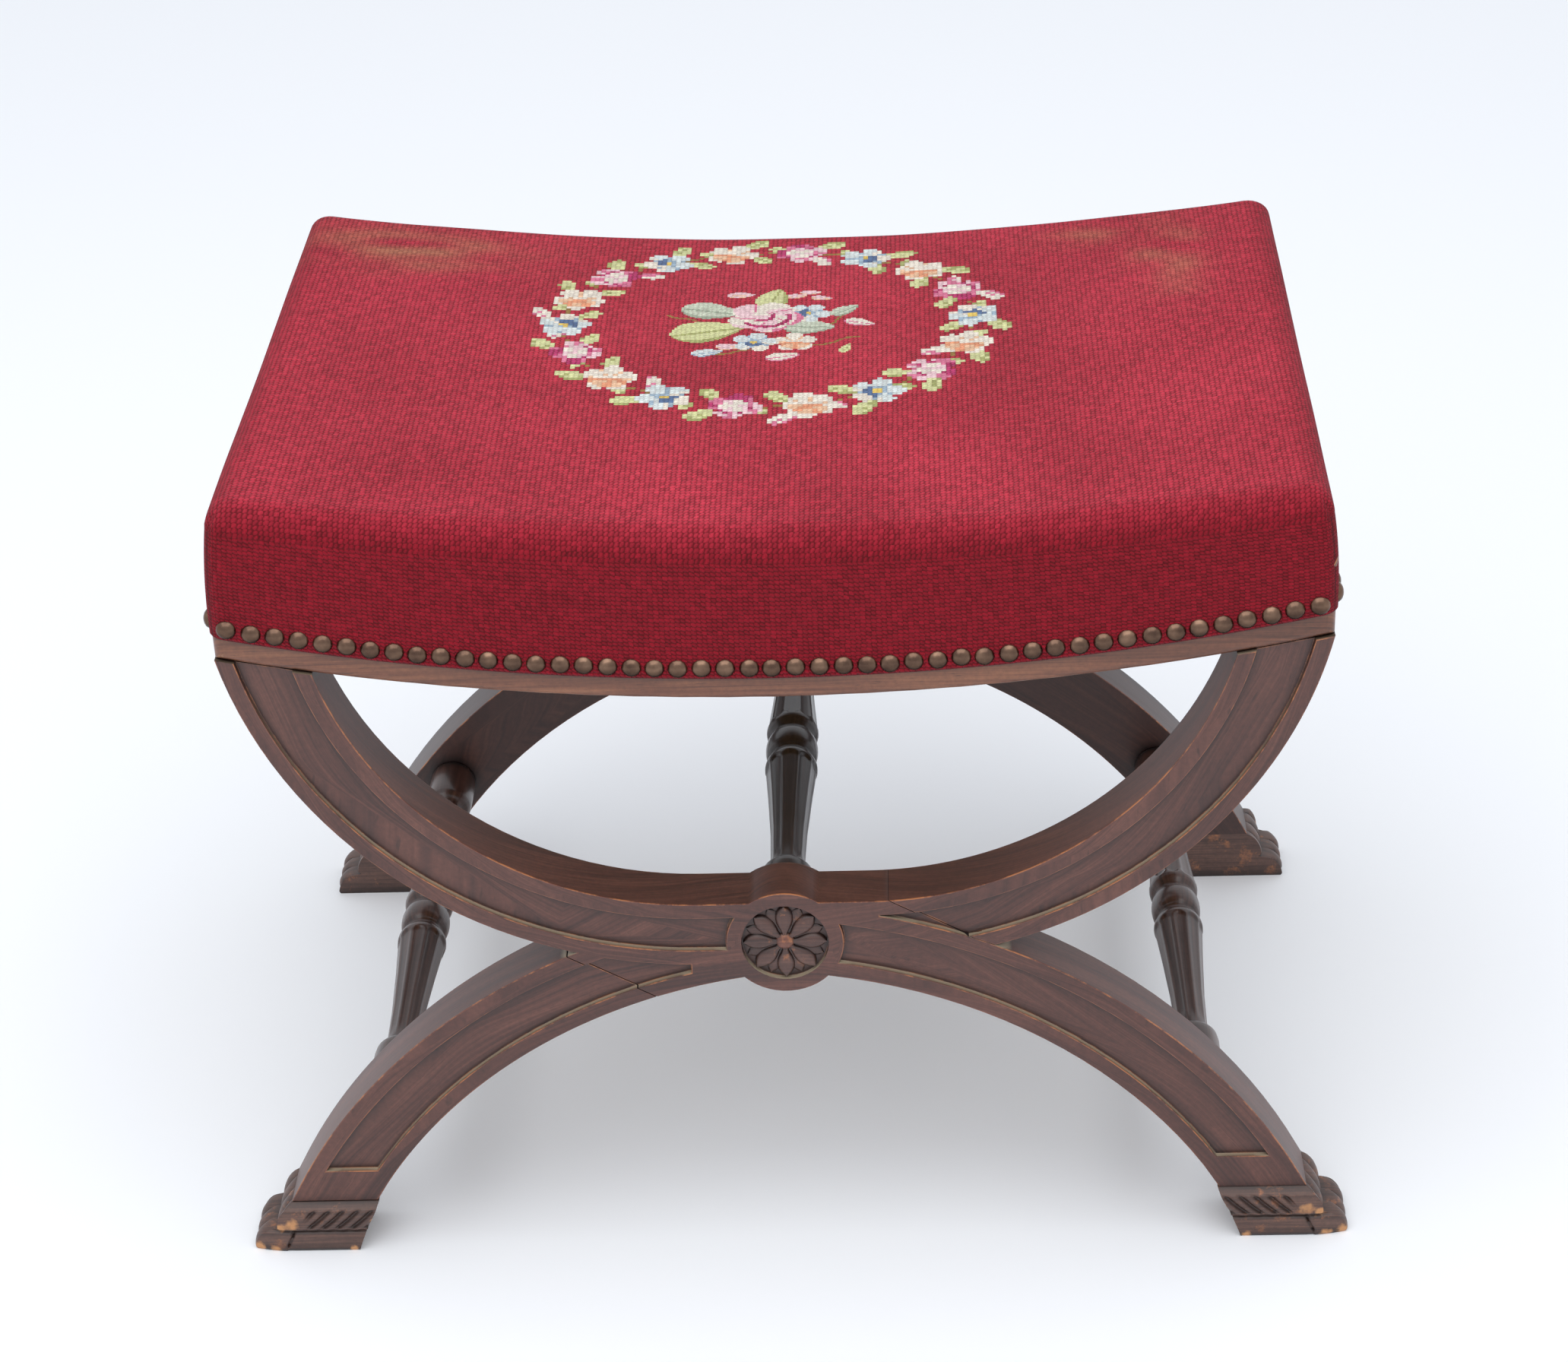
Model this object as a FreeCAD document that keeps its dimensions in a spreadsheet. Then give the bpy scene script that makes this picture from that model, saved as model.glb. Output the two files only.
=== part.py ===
# X frame stool: two carved X frames, three turned stretchers, a dished upholstered seat.
# Millimetres. X runs along the stool, -Y is the front, Z is up, and the floor is z = 0.
import FreeCAD, Part
import os
import re
import Sketcher
from FreeCAD import Placement, Rotation, Vector

doc = FreeCAD.newDocument("x_frame_stool")
sheet = doc.addObject("Spreadsheet::Sheet", "Sizes")

SIZES = {
    # X frames
    "frame_depth": 382,          # front face of the front frame to back face of the rear one
    "frame_thick": 30,
    "rosette_height": 198,
    "boss_radius": 31,
    "rosette_radius": 23,
    "rosette_sink": 3,
    "arm_radius": 240,           # outer edge of the bowl that carries the seat
    "arm_width": 46,             # at the rail; the bowl is slimmer under the rosette
    "bowl_waist": 38,
    "bowl_drop": 13,             # lower edge of the bowl below the rosette's centre
    "leg_radius": 335,           # outer edge of the arch that stands on the floor
    "leg_width": 42,
    "arch_rise": 24,             # upper edge of the arch above the rosette's centre
    "leg_span": 552,             # across the legs where they stand on the feet
    "panel_border": 9,
    "panel_depth": 3,
    "panel_foot_band": 16,       # plain band between the panel and the foot
    "panel_tip_reach": 50,       # the short panels start this far from the middle
    "arm_seam_reach": 62,        # middle of the arm's scarf joint from the rosette, along X
    "leg_seam_reach": 90,
    "seam_rise": 21,             # the joints lie this far above and below the rosette
    "seam_slope": 30,
    "petal_count": 8,
    "petal_length": 17,
    "petal_width": 8.4,
    "petal_rise": 2.2,
    "button_radius": 4.6,
    # feet
    "foot_height": 36,
    "foot_overhang": 5,          # beyond the frame's outer face
    "foot_inner_lean": 14,       # the inner side's run from the top to the floor
    "cuff_bulge": 11,
    "cuff_round": 29,
    "toe_height": 18,
    "toe_length": 15,
    "toe_round": 16,
    "toe_blunt": 2.2,            # upright end of the toes at the floor
    "toe_notch": 3.8,            # square tool that parts the toes, turned on its corner
    "toe_notch_depth": 2.4,
    "undercut": 1.2,             # height of the groove under the cuff
    "undercut_depth": 1.2,
    "foot_peg_inset": 26,        # from the leg's outer edge
    # stretchers
    "stretcher_height": 84,      # of the two low ones
    "spigot_radius": 7,
    "spigot_length": 18,
    "collar_radius": 14.5,
    "collar_length": 30,
    "collar_ease": 2,
    "neck_radius": 9.5,
    "shoulder_radius": 15.3,
    "low_shoulder_radius": 14.2,
    "shoulder_reach": 20,        # the shoulders stand this far from the middle
    "shoulder_round": 7,
    "waist_radius": 11.5,
    "bead_radius": 14.3,
    "bead_width": 15,
    "bead_curve": 13.5,
    "taper_curve": 1146,
    "flute_count": 10,
    "flute_depth": 1.3,
    "flute_end_depth": 0.9,
    "flute_share": 0.62,         # a flute's width as a share of the bar's radius there
    # seat frame
    "rail_length": 560,
    "rail_height": 42,
    "rail_sag": 30,
    "rail_end_level": 376,       # lower edge of the front rail at its ends
    "side_rail_thick": 24,
    "corner_round": 5,           # upright outer corners of the rails
    "block_leg": 46,
    "block_height": 26,
    # joints
    "dowel_radius": 4,
    "dowel_length": 40,
    "dowel_spacing": 16,
    "foot_dowel_radius": 5,
    "fit": 0.2,                  # radial clearance of pegs in their holes
    # upholstery
    "layer_gap": 0.3,
    "web_width": 50,
    "web_pitch": 72,
    "web_thick": 1.8,
    "web_inset": 5,              # the webbing ends this far inside the rails
    "hessian_thick": 1.2,
    "hessian_inset": 4,
    "cover_thick": 1.6,
    "cover_hem": 14,             # lower edge of the cover above the rail's lower edge
    "seat_corner_level": 458,
    "seat_sag": 21,              # dip of the seat's long edges
    "seat_crown": 6,
    "seat_edge_round": 6,
    "nail_line": 20,             # nails above the rail's lower edge
    "nail_pitch": 11.8,
    "nail_radius": 5.3,
    "nail_crown_radius": 3,      # flat top that stands for the dome
    "nail_rise": 3.6,
    "nail_end_room": 2,          # least room between a row's end and the corner
}

for row, (alias, value) in enumerate(SIZES.items(), start=1):
    sheet.set(f"A{row}", alias)
    sheet.set(f"B{row}", str(value))
    sheet.setAlias(f"B{row}", alias)
doc.recompute()

FRONT = "-frame_depth/2"
INNER = "(frame_depth/2 - frame_thick)"
ARM_LEVEL = "(rosette_height - bowl_drop + arm_radius)"
ARM_OFFSET = f"(rail_length/2 - sqrt(arm_radius^2 - ({ARM_LEVEL} - rail_end_level)^2))"
HOLLOW_RISE = "(rail_end_level - rosette_height + bowl_drop - bowl_waist)"
HOLLOW_REACH = f"(rail_length/2 - arm_width - {ARM_OFFSET})"
HOLLOW_RADIUS = f"(({HOLLOW_RISE}^2 + {HOLLOW_REACH}^2)/(2*{HOLLOW_RISE}))"
HOLLOW_LEVEL = f"(rosette_height - bowl_drop + bowl_waist + {HOLLOW_RADIUS})"
LEG_LEVEL = "(rosette_height + arch_rise - leg_radius)"
LEG_OFFSET = f"(sqrt(leg_radius^2 - (foot_height - {LEG_LEVEL})^2) - leg_span/2)"
LEG_MIDLINE = "(leg_radius - leg_width/2)"
LOW_STRETCHER_X = f"(sqrt({LEG_MIDLINE}^2 - (stretcher_height - {LEG_LEVEL})^2) - {LEG_OFFSET})"
RAIL_RADIUS = "((rail_length^2/4 + rail_sag^2)/(2*rail_sag))"
RAIL_CENTRE = f"(rail_end_level - rail_sag + {RAIL_RADIUS})"
RAIL_TOP_RADIUS = f"({RAIL_RADIUS} - rail_height)"

ALONG_Y = Rotation(Vector(1, 0, 0), -90)
HALF_TURN = Rotation(Vector(0, 0, 1), 180)
WORDS = r"\b(?!sqrt\b|sin\b|cos\b|tan\b)[a-z]\w*"
subparts = []


def bound(text):
    """Points every size named in an expression at its cell in the sheet."""
    return re.sub(WORDS, r"Sizes.\g<0>", text)


def value(text):
    """The number that an expression comes to."""
    result = sheet.evalExpression(bound(text))
    return float(getattr(result, "Value", result))


def bind(item, **expressions):
    """Ties properties to expressions: x, y and z stand for the placement's base."""
    for name, text in expressions.items():
        path = f".Placement.Base.{name}" if name in ("x", "y", "z") else name
        item.setExpression(path, bound(text))
    return item


def box(name, x, y, z, length, width, height):
    item = doc.addObject("Part::Box", name)
    return bind(item, x=x, y=y, z=z, Length=length, Width=width, Height=height)


def disc(name, radius, x, z, y=FRONT, length="frame_thick"):
    """A round slab with its axis front to back."""
    item = doc.addObject("Part::Cylinder", name)
    item.Placement = Placement(Vector(), ALONG_Y)
    return bind(item, Radius=radius, Height=length, x=x, y=y, z=z)


def post(name, radius, x, y, z, length):
    """A round peg or hole with its axis upright."""
    item = doc.addObject("Part::Cylinder", name)
    return bind(item, Radius=radius, Height=length, x=x, y=y, z=z)


def cut(name, base, tool):
    item = doc.addObject("Part::Cut", name)
    item.Base = base
    item.Tool = tool
    return item


def fuse(name, *shapes):
    item = doc.addObject("Part::MultiFuse", name)
    item.Shapes = list(shapes)
    item.Refine = True
    return item


def common(name, *shapes):
    item = doc.addObject("Part::MultiCommon", name)
    item.Shapes = list(shapes)
    return item


def ring(name, outer, width, x, z, y=FRONT, length="frame_thick"):
    """A flat ring: the outer disc less the one that lies a width inside it."""
    rim = disc(f"{name}_rim", outer, x, z, y, length)
    hole = disc(f"{name}_hole", f"{outer} - {width}", x, z, y, length)
    return cut(name, rim, hole)


def keep(item, label, turned=False):
    """Lists a finished sub-part, turned half round for the rear of the stool."""
    item.Label = label
    if turned:
        item.Placement = Placement(Vector(), HALF_TURN)
    subparts.append(item)
    return item


def outline(sketch, corners, arcs=None):
    """A closed outline through corners given as expressions.

    arcs maps the number of a side to its radius and to the way it bulges, 1 for
    the left of the way along the outline and -1 for the right.
    """
    arcs = arcs or {}
    points = [Vector(value(across), value(up), 0) for across, up in corners]
    ends = []
    for side, start in enumerate(points):
        end = points[(side + 1) % len(points)]
        if side not in arcs:
            sketch.addGeometry(Part.LineSegment(start, end))
            ends.append((1, 2))
            continue
        size, bulge = arcs[side]
        radius, half = value(size), (end - start).Length / 2
        rise = radius - (radius**2 - half**2) ** 0.5
        left = Vector(start.y - end.y, end.x - start.x, 0).normalize()
        sketch.addGeometry(Part.Arc(start, (start + end) / 2 + left * (rise * bulge), end))
        ends.append((1, 2) if bulge < 0 else (2, 1))
    for side, (across, up) in enumerate(corners):
        after = (side + 1) % len(points)
        sketch.addConstraint(
            Sketcher.Constraint("Coincident", side, ends[side][1], after, ends[after][0]))
        for kind, text in (("DistanceX", across), ("DistanceY", up)):
            number = sketch.addConstraint(
                Sketcher.Constraint(kind, -1, 1, side, ends[side][0], value(text)))
            sketch.setExpression(f"Constraints[{number}]", bound(text))
    for side, (size, bulge) in arcs.items():
        number = sketch.addConstraint(Sketcher.Constraint("Radius", side, value(size)))
        sketch.setExpression(f"Constraints[{number}]", bound(size))


def sketch_on(body, name, plane, offset=None):
    """An empty sketch on one of the body's own planes, moved along its normal."""
    sketch = body.newObject("Sketcher::SketchObject", name)
    flat = [item for item in body.Origin.OriginFeatures if item.Role == plane][0]
    sketch.AttachmentSupport = [(flat, "")]
    sketch.MapMode = "FlatFace"
    if offset:
        sketch.setExpression(".AttachmentOffset.Base.z", bound(offset))
    return sketch


def padded_body(name, plane, corners, length, arcs=None, **place):
    """A body made of one outline, thickened evenly to both sides of its plane."""
    body = doc.addObject("PartDesign::Body", name)
    sketch = sketch_on(body, f"{name}_outline", plane)
    outline(sketch, corners, arcs)
    pad = body.newObject("PartDesign::Pad", f"{name}_pad")
    pad.Profile = sketch
    pad.SideType = "Symmetric"
    pad.setExpression("Length", bound(length))
    return bind(body, **place)


def edges_where(shape, test):
    """Numbers of the edges whose pair of ends passes a test."""
    found = []
    for number, edge in enumerate(shape.Edges, start=1):
        ends = [corner.Point for corner in edge.Vertexes]
        if len(ends) == 2 and test(ends):
            found.append(number)
    return found


def rounded(name, base, radius, test):
    """Rounds the edges whose pair of ends passes a test."""
    doc.recompute()
    rounding = doc.addObject("Part::Fillet", name)
    rounding.Base = base
    size = value(radius)
    rounding.Edges = [(number, size, size) for number in edges_where(base.Shape, test)]
    return rounding


# X frames

def band(name, side, sign, inset, y, length):
    """Bowl and arch of one side, as wide as the timber less an inset at each edge."""
    bowl_outer = disc(f"{name}_bowl_outer", f"arm_radius - {inset}", f"{sign}*{ARM_OFFSET}",
                      ARM_LEVEL, y, length)
    bowl_hollow = disc(f"{name}_bowl_hollow", f"{HOLLOW_RADIUS} + {inset}",
                       f"{sign}*{ARM_OFFSET}", HOLLOW_LEVEL, y, length)
    bowl_ring = cut(f"{name}_bowl_ring", bowl_outer, bowl_hollow)
    arch_ring = ring(f"{name}_arch_ring", f"(leg_radius - {inset})", f"(leg_width - 2*{inset})",
                     f"{-sign}*{LEG_OFFSET}", LEG_LEVEL, y, length)
    outer = "(arm_radius + frame_thick)"
    bowl_x = ARM_OFFSET if sign > 0 else f"(-{ARM_OFFSET} - {outer})"
    arch_x = "0" if sign > 0 else "-leg_span"
    bowl_side = box(f"{name}_bowl_side", bowl_x, y, f"{ARM_LEVEL} - {outer}",
                    outer, length, outer)
    arch_side = box(f"{name}_arch_side", arch_x, y, "foot_height",
                    "leg_span", length, "leg_radius")
    return common(f"{name}_bowl", bowl_ring, bowl_side), common(f"{name}_arch", arch_ring, arch_side)


def flat_bottom(name, x, length, inset, y, thick):
    """The straight stretch of the bowl, under the rosette."""
    return box(name, x, y, f"{ARM_LEVEL} - arm_radius + {inset}",
               length, thick, f"bowl_waist - 2*{inset}")


def below_seam(name, reach, rise):
    """Everything under the sloping plane of a scarf joint."""
    item = doc.addObject("Part::Box", name)
    item.Placement = Placement(Vector(), Rotation(Vector(0, 1, 0), 30))
    item.setExpression(".Placement.Rotation.Angle", bound("seam_slope"))
    return bind(
        item, Length="2*arm_width", Width="frame_thick", Height="2*arm_width", y=FRONT,
        x=f"{reach} - arm_width*(cos(seam_slope) + 2*sin(seam_slope))",
        z=f"rosette_height + {rise} + arm_width*(sin(seam_slope) - 2*cos(seam_slope))")


def rosette(name):
    """Eight pointed petals round a button, standing in the boss's sunk circle."""
    depth = f"({FRONT} + rosette_sink - petal_rise)"
    thick = "(petal_rise + rosette_sink)"
    curve = "((petal_length^2 + petal_width^2)/(4*petal_width))"
    middle = "(rosette_radius - 1 - petal_length/2)"
    pieces = [disc(f"{name}_button", "button_radius", "0", "rosette_height", depth, thick)]
    for number in range(int(value("petal_count"))):
        sides = [disc(f"{name}_petal_{number}_{hand}", curve, f"{sign}*({curve} - petal_width/2)",
                      middle, depth, thick) for hand, sign in (("a", -1), ("b", 1))]
        petal = common(f"{name}_petal_{number}", *sides)
        turn = 360 * number / value("petal_count")
        petal.Placement = Placement(Vector(), Rotation(Vector(0, 1, 0), turn))
        pieces.append(bind(petal, z="rosette_height"))
    return pieces


def x_frame(end, turned):
    """One X frame: a long S-shaped limb with the boss, an arm and a leg scarfed to it."""
    face, sunk = f"({FRONT} - 1)", "(panel_depth + 1)"
    bowl, arch, bowl_panel, arch_panel = {}, {}, {}, {}
    for side, sign in (("left", -1), ("right", 1)):
        bowl[side], arch[side] = band(f"{end}_{side}", side, sign, "0", FRONT, "frame_thick")
        bowl_panel[side], arch_panel[side] = band(
            f"{end}_{side}_panel", side, sign, "panel_border", face, sunk)
    flat = flat_bottom(f"{end}_flat", f"-{ARM_OFFSET}", f"2*{ARM_OFFSET}", "0",
                       FRONT, "frame_thick")
    boss = disc(f"{end}_boss", "boss_radius", "0", "rosette_height")

    arm_seam = below_seam(f"{end}_arm_seam", "arm_seam_reach", "seam_rise")
    leg_seam = below_seam(f"{end}_leg_seam", "-leg_seam_reach", "-seam_rise")
    arm_stub = common(f"{end}_arm_stub", bowl["right"], arm_seam)
    leg_stub = cut(f"{end}_leg_stub", arch["left"],
                   fuse(f"{end}_leg_reach", leg_seam,
                        box(f"{end}_beyond_seam", "-leg_span", FRONT, "0",
                            "leg_span - leg_seam_reach - arm_width", "frame_thick", "leg_radius")))
    limb_blank = fuse(f"{end}_limb_blank", bowl["left"], flat, arch["right"], boss,
                      arm_stub, leg_stub)
    arm_blank = cut(f"{end}_arm_blank", bowl["right"], limb_blank)
    leg_blank = cut(f"{end}_leg_blank", arch["left"], limb_blank)

    main_bowl = fuse(f"{end}_main_panel_bowl", bowl_panel["left"],
                     flat_bottom(f"{end}_flat_panel_left", f"-{ARM_OFFSET}", ARM_OFFSET,
                                 "panel_border", face, sunk))
    short_bowl = fuse(f"{end}_short_panel_bowl", bowl_panel["right"],
                      flat_bottom(f"{end}_flat_panel_right", "0", ARM_OFFSET,
                                  "panel_border", face, sunk))
    main_shape = fuse(f"{end}_main_shape", bowl["left"], flat, arch["right"])
    middle = box(f"{end}_panel_middle", "-panel_tip_reach", face, "0",
                 "2*panel_tip_reach", sunk, "leg_radius")
    short_panels = cut(
        f"{end}_short_panels",
        fuse(f"{end}_short_panel_bands", short_bowl, arch_panel["left"]),
        fuse(f"{end}_short_panel_limits", main_shape, middle))
    long_panels = cut(
        f"{end}_long_panels",
        fuse(f"{end}_long_panel_bands", main_bowl, arch_panel["right"]),
        disc(f"{end}_boss_rim", "boss_radius", "0", "rosette_height", face, sunk))
    foot_band = box(f"{end}_foot_band", "-leg_span", face, "0",
                    "2*leg_span", sunk, "foot_height + panel_foot_band")
    panels = cut(f"{end}_panels",
                 fuse(f"{end}_all_panels", short_panels, long_panels), foot_band)

    seat = disc(f"{end}_seat_curve", RAIL_RADIUS, "0", RAIL_CENTRE,
                f"({FRONT} - 1)", "frame_thick + 2")
    holes = [disc(f"{end}_stretcher_hole_{number}", "spigot_radius + fit", x, z,
                  f"({FRONT} + frame_thick - spigot_length - layer_gap)",
                  "spigot_length + frame_thick")
             for number, (x, z) in enumerate(STRETCHER_PLACES)]
    pegs = peg_holes(end)
    tools = fuse(f"{end}_tools", panels, seat, *holes, *pegs)
    sink = disc(f"{end}_rosette_sink", "rosette_radius", "0", "rosette_height",
                face, "rosette_sink + 1")
    limb = cut(f"{end}_limb_cut", limb_blank, fuse(f"{end}_limb_tools", tools, sink))
    carved = fuse(f"{end}_carved_limb", limb, *rosette(f"{end}_rosette"))
    keep(carved, f"{end}_main_limb", turned)
    keep(cut(f"{end}_arm", arm_blank, tools), f"{end}_upper_arm", turned)
    keep(cut(f"{end}_leg", leg_blank, tools), f"{end}_lower_leg", turned)


STRETCHER_PLACES = (
    ("0", "rosette_height"),
    (f"-{LOW_STRETCHER_X}", "stretcher_height"),
    (LOW_STRETCHER_X, "stretcher_height"),
)


# Pegs that hold the rails on the arms and the legs on the feet

ARM_TOP_X = "(rail_length/2 - arm_width/2)"
ARM_TOP_LEVEL = f"({RAIL_CENTRE} - sqrt({RAIL_RADIUS}^2 - {ARM_TOP_X}^2))"
FOOT_PEG_X = "(leg_span/2 - foot_peg_inset)"
PEG_Y = f"({FRONT} + frame_thick/2)"


def peg_places():
    """Each peg's radius, place and middle level, all for the front of the stool."""
    places = []
    for sign in (-1, 1):
        for step in (-0.5, 0.5):
            places.append(("dowel_radius", f"{sign}*({ARM_TOP_X} + {step}*dowel_spacing)",
                           ARM_TOP_LEVEL))
        places.append(("foot_dowel_radius", f"{sign}*{FOOT_PEG_X}", "foot_height"))
    return places


def peg_holes(end):
    return [post(f"{end}_peg_hole_{number}", f"{radius} + fit", x, PEG_Y,
                 f"{level} - dowel_length/2 - layer_gap", "dowel_length + 2*layer_gap")
            for number, (radius, x, level) in enumerate(peg_places())]


def pegs():
    """The rail pegs and the foot pegs, as two groups of loose pegs."""
    for kind, label in (("dowel_radius", "rail_dowels"), ("foot_dowel_radius", "foot_dowels")):
        front = [post(f"{label}_{number}", radius, x, PEG_Y, f"{level} - dowel_length/2",
                      "dowel_length")
                 for number, (radius, x, level) in enumerate(peg_places()) if radius == kind]
        rear = doc.addObject("Part::Compound", f"{label}_rear")
        rear.Links = front
        rear.Placement = Placement(Vector(), HALF_TURN)
        group = doc.addObject("Part::Compound", f"{label}_all")
        group.Links = front + [rear]
        keep(group, label)


# Feet

LEG_FOOT_INNER = (f"(sqrt((leg_radius - leg_width)^2 - (foot_height - {LEG_LEVEL})^2)"
                  f" - {LEG_OFFSET})")
FOOT_DEPTH = "(frame_thick + foot_overhang)"


def foot():
    """A paw foot: a bulging cuff over a plinth, with toes pointing along the stool."""
    toe_end = "(leg_span/2 + cuff_bulge + toe_length)"
    corners = [
        (f"{LEG_FOOT_INNER} + foot_inner_lean", "0"),
        (toe_end, "0"),
        (toe_end, "toe_blunt"),
        ("leg_span/2 + cuff_bulge", "toe_height"),
        ("leg_span/2", "foot_height"),
        (LEG_FOOT_INNER, "foot_height"),
    ]
    body = padded_body("paw", "XZ_Plane", corners, FOOT_DEPTH,
                       {2: ("toe_round", -1), 3: ("cuff_round", -1)},
                       y=f"{FRONT} - foot_overhang + {FOOT_DEPTH}/2")
    doc.recompute()
    front_y = value(f"{FRONT} - foot_overhang")
    top = value("foot_height")
    cuff = doc.addObject("Part::Chamfer", "paw_cuff")
    cuff.Base = body
    front_top = edges_where(body.Shape, lambda ends: all(
        abs(end.z - top) < 0.01 and abs(end.y - front_y) < 0.01 for end in ends))
    cuff.Edges = [(number, value("foot_overhang"), value("foot_overhang - 0.5"))
                  for number in front_top]
    gaps = [box("paw_undercut", f"{LEG_FOOT_INNER} - 1", f"{FRONT} - foot_overhang - 1",
                "toe_height - undercut", "leg_width + cuff_bulge + foot_inner_lean",
                "1 + undercut_depth", "undercut")]
    for number in range(1, 4):
        gap = doc.addObject("Part::Box", f"paw_toe_gap_{number}")
        gap.Placement = Placement(Vector(), Rotation(Vector(0, 0, 1), 45))
        row = f"{FRONT} - foot_overhang + {FOOT_DEPTH}*{number}/4"
        gaps.append(bind(gap, Length="toe_notch", Width="toe_notch", Height="foot_height + 2",
                         x=f"{toe_end} - toe_notch_depth", y=f"{row} - toe_notch/sqrt(2)",
                         z="-1"))
    hole = post("paw_peg_hole", "foot_dowel_radius + fit", FOOT_PEG_X, PEG_Y,
                "foot_height - dowel_length/2 - layer_gap", "dowel_length")
    right = cut("paw_carved", cuff, fuse("paw_cuts", hole, *gaps))
    keep(right, "foot_front_right")
    left = doc.addObject("Part::Mirroring", "paw_left")
    left.Source = right
    left.Normal = Vector(1, 0, 0)
    keep(left, "foot_front_left")
    for source, label in ((right, "foot_rear_right"), (left, "foot_rear_left")):
        rear = doc.addObject("Part::Mirroring", f"{label}_mirror")
        rear.Source = source
        rear.Normal = Vector(0, 1, 0)
        keep(rear, label)


# Stretchers

def stretcher(label, x, z, shoulder):
    """A turned bar: spigots, collars, fluted tapers and a bead between two shoulders."""
    end = INNER
    half = [
        ("0", f"{end} + spigot_length"),
        ("spigot_radius", f"{end} + spigot_length"),
        ("spigot_radius", end),
        ("collar_radius - collar_ease/2", end),
        ("collar_radius", f"{end} - collar_ease"),
        ("collar_radius", f"{end} - collar_length + 2*collar_ease"),
        ("neck_radius", f"{end} - collar_length"),
        (shoulder, "shoulder_reach"),
        ("waist_radius", "shoulder_reach - shoulder_round"),
        ("waist_radius", "bead_width/2 + 1"),
        ("bead_radius - 2", "bead_width/2"),
    ]
    rear = [(radius, f"-({along})") for radius, along in reversed(half)]
    body = doc.addObject("PartDesign::Body", label)
    profile = sketch_on(body, f"{label}_profile", "XY_Plane")
    last = len(half) - 1
    taper = half.index(("neck_radius", f"{end} - collar_length"))
    outline(profile, half + rear, {
        taper: ("taper_curve", 1), last: ("bead_curve", 1),
        2 * last - taper: ("taper_curve", 1)})
    turned = body.newObject("PartDesign::Revolution", f"{label}_turned")
    turned.Profile = profile
    turned.ReferenceAxis = (profile, ["V_Axis"])
    turned.Angle = 360
    flutes = []
    near = f"({end} - collar_length)"
    for side, sign in (("front", 1), ("rear", -1)):
        rings = []
        for name, along, surface, depth in (
                ("thin", near, "neck_radius", "flute_end_depth"),
                ("thick", "(shoulder_reach - shoulder_round/2)", shoulder, "flute_depth")):
            place = f"{sign}*{along}"
            circle = sketch_on(body, f"{label}_{side}_{name}", "XZ_Plane", place)
            width = f"(flute_share*{surface})"
            radius = f"(({width}^2/4 + ({depth})^2)/(2*({depth})))"
            centre = f"({surface} - {depth} + {radius})"
            circle.addGeometry(Part.Circle(Vector(0, value(centre), 0), Vector(0, 0, 1),
                                           value(radius)))
            for kind, text in (("Radius", radius), ("DistanceY", centre)):
                rule = (Sketcher.Constraint(kind, 0, value(text)) if kind == "Radius" else
                        Sketcher.Constraint(kind, -1, 1, 0, 3, value(text)))
                number = circle.addConstraint(rule)
                circle.setExpression(f"Constraints[{number}]", bound(text))
            circle.addConstraint(Sketcher.Constraint("PointOnObject", 0, 3, -2))
            rings.append(circle)
        flute = body.newObject("PartDesign::SubtractiveLoft", f"{label}_{side}_flute")
        flute.Profile = rings[0]
        flute.Sections = rings[1:]
        flute.Ruled = True
        flutes.append(flute)
    pattern = body.newObject("PartDesign::PolarPattern", f"{label}_flutes")
    pattern.Originals = flutes
    axis = [item for item in body.Origin.OriginFeatures if item.Role == "Y_Axis"][0]
    pattern.Axis = (axis, [""])
    pattern.Angle = 360
    pattern.Occurrences = int(value("flute_count"))
    body.Tip = pattern
    keep(bind(body, x=x, z=z), label)


# Seat frame

def arc_level(radius, x):
    """Height of a curve round the seat's centre line, at a distance along the stool."""
    return f"({RAIL_CENTRE} - sqrt({radius}^2 - ({x})^2))"


def rails():
    half = "rail_length/2"
    low = arc_level(RAIL_RADIUS, half)
    high = arc_level(RAIL_TOP_RADIUS, half)
    corners = [(f"-{half}", low), (half, low), (half, high), (f"-{half}", high)]
    for label, sign in (("rail_front", "-1"), ("rail_rear", "1")):
        body = padded_body(f"{label}_board", "XZ_Plane", corners, "frame_thick",
                           {0: (RAIL_RADIUS, -1), 2: (RAIL_TOP_RADIUS, 1)},
                           y=f"{sign}*(frame_depth/2 - frame_thick/2)")
        side, face = value(half), value("frame_depth/2")
        eased = rounded(f"{label}_eased", body, "corner_round", lambda ends: all(
            abs(abs(end.x) - side) < 0.01 and abs(abs(end.y) - face) < 0.01 for end in ends))
        holes = [post(f"{label}_hole_{number}", f"{radius} + fit", x,
                      f"{sign}*(frame_depth/2 - frame_thick/2)",
                      f"{level} - dowel_length/2 - layer_gap", "dowel_length + 2*layer_gap")
                 for number, (radius, x, level) in enumerate(peg_places())
                 if radius == "dowel_radius"]
        keep(cut(f"{label}_drilled", eased, fuse(f"{label}_holes", *holes)), label)
    inner = f"({half} - side_rail_thick)"
    for label, sign in (("rail_left", -1), ("rail_right", 1)):
        corners = [(f"{sign}*{x}", arc_level(radius, x)) for x, radius in (
            (inner, RAIL_RADIUS), (half, RAIL_RADIUS), (half, RAIL_TOP_RADIUS),
            (inner, RAIL_TOP_RADIUS))]
        keep(padded_body(label, "XZ_Plane", corners[::sign], f"2*{INNER}"), label)


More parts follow.
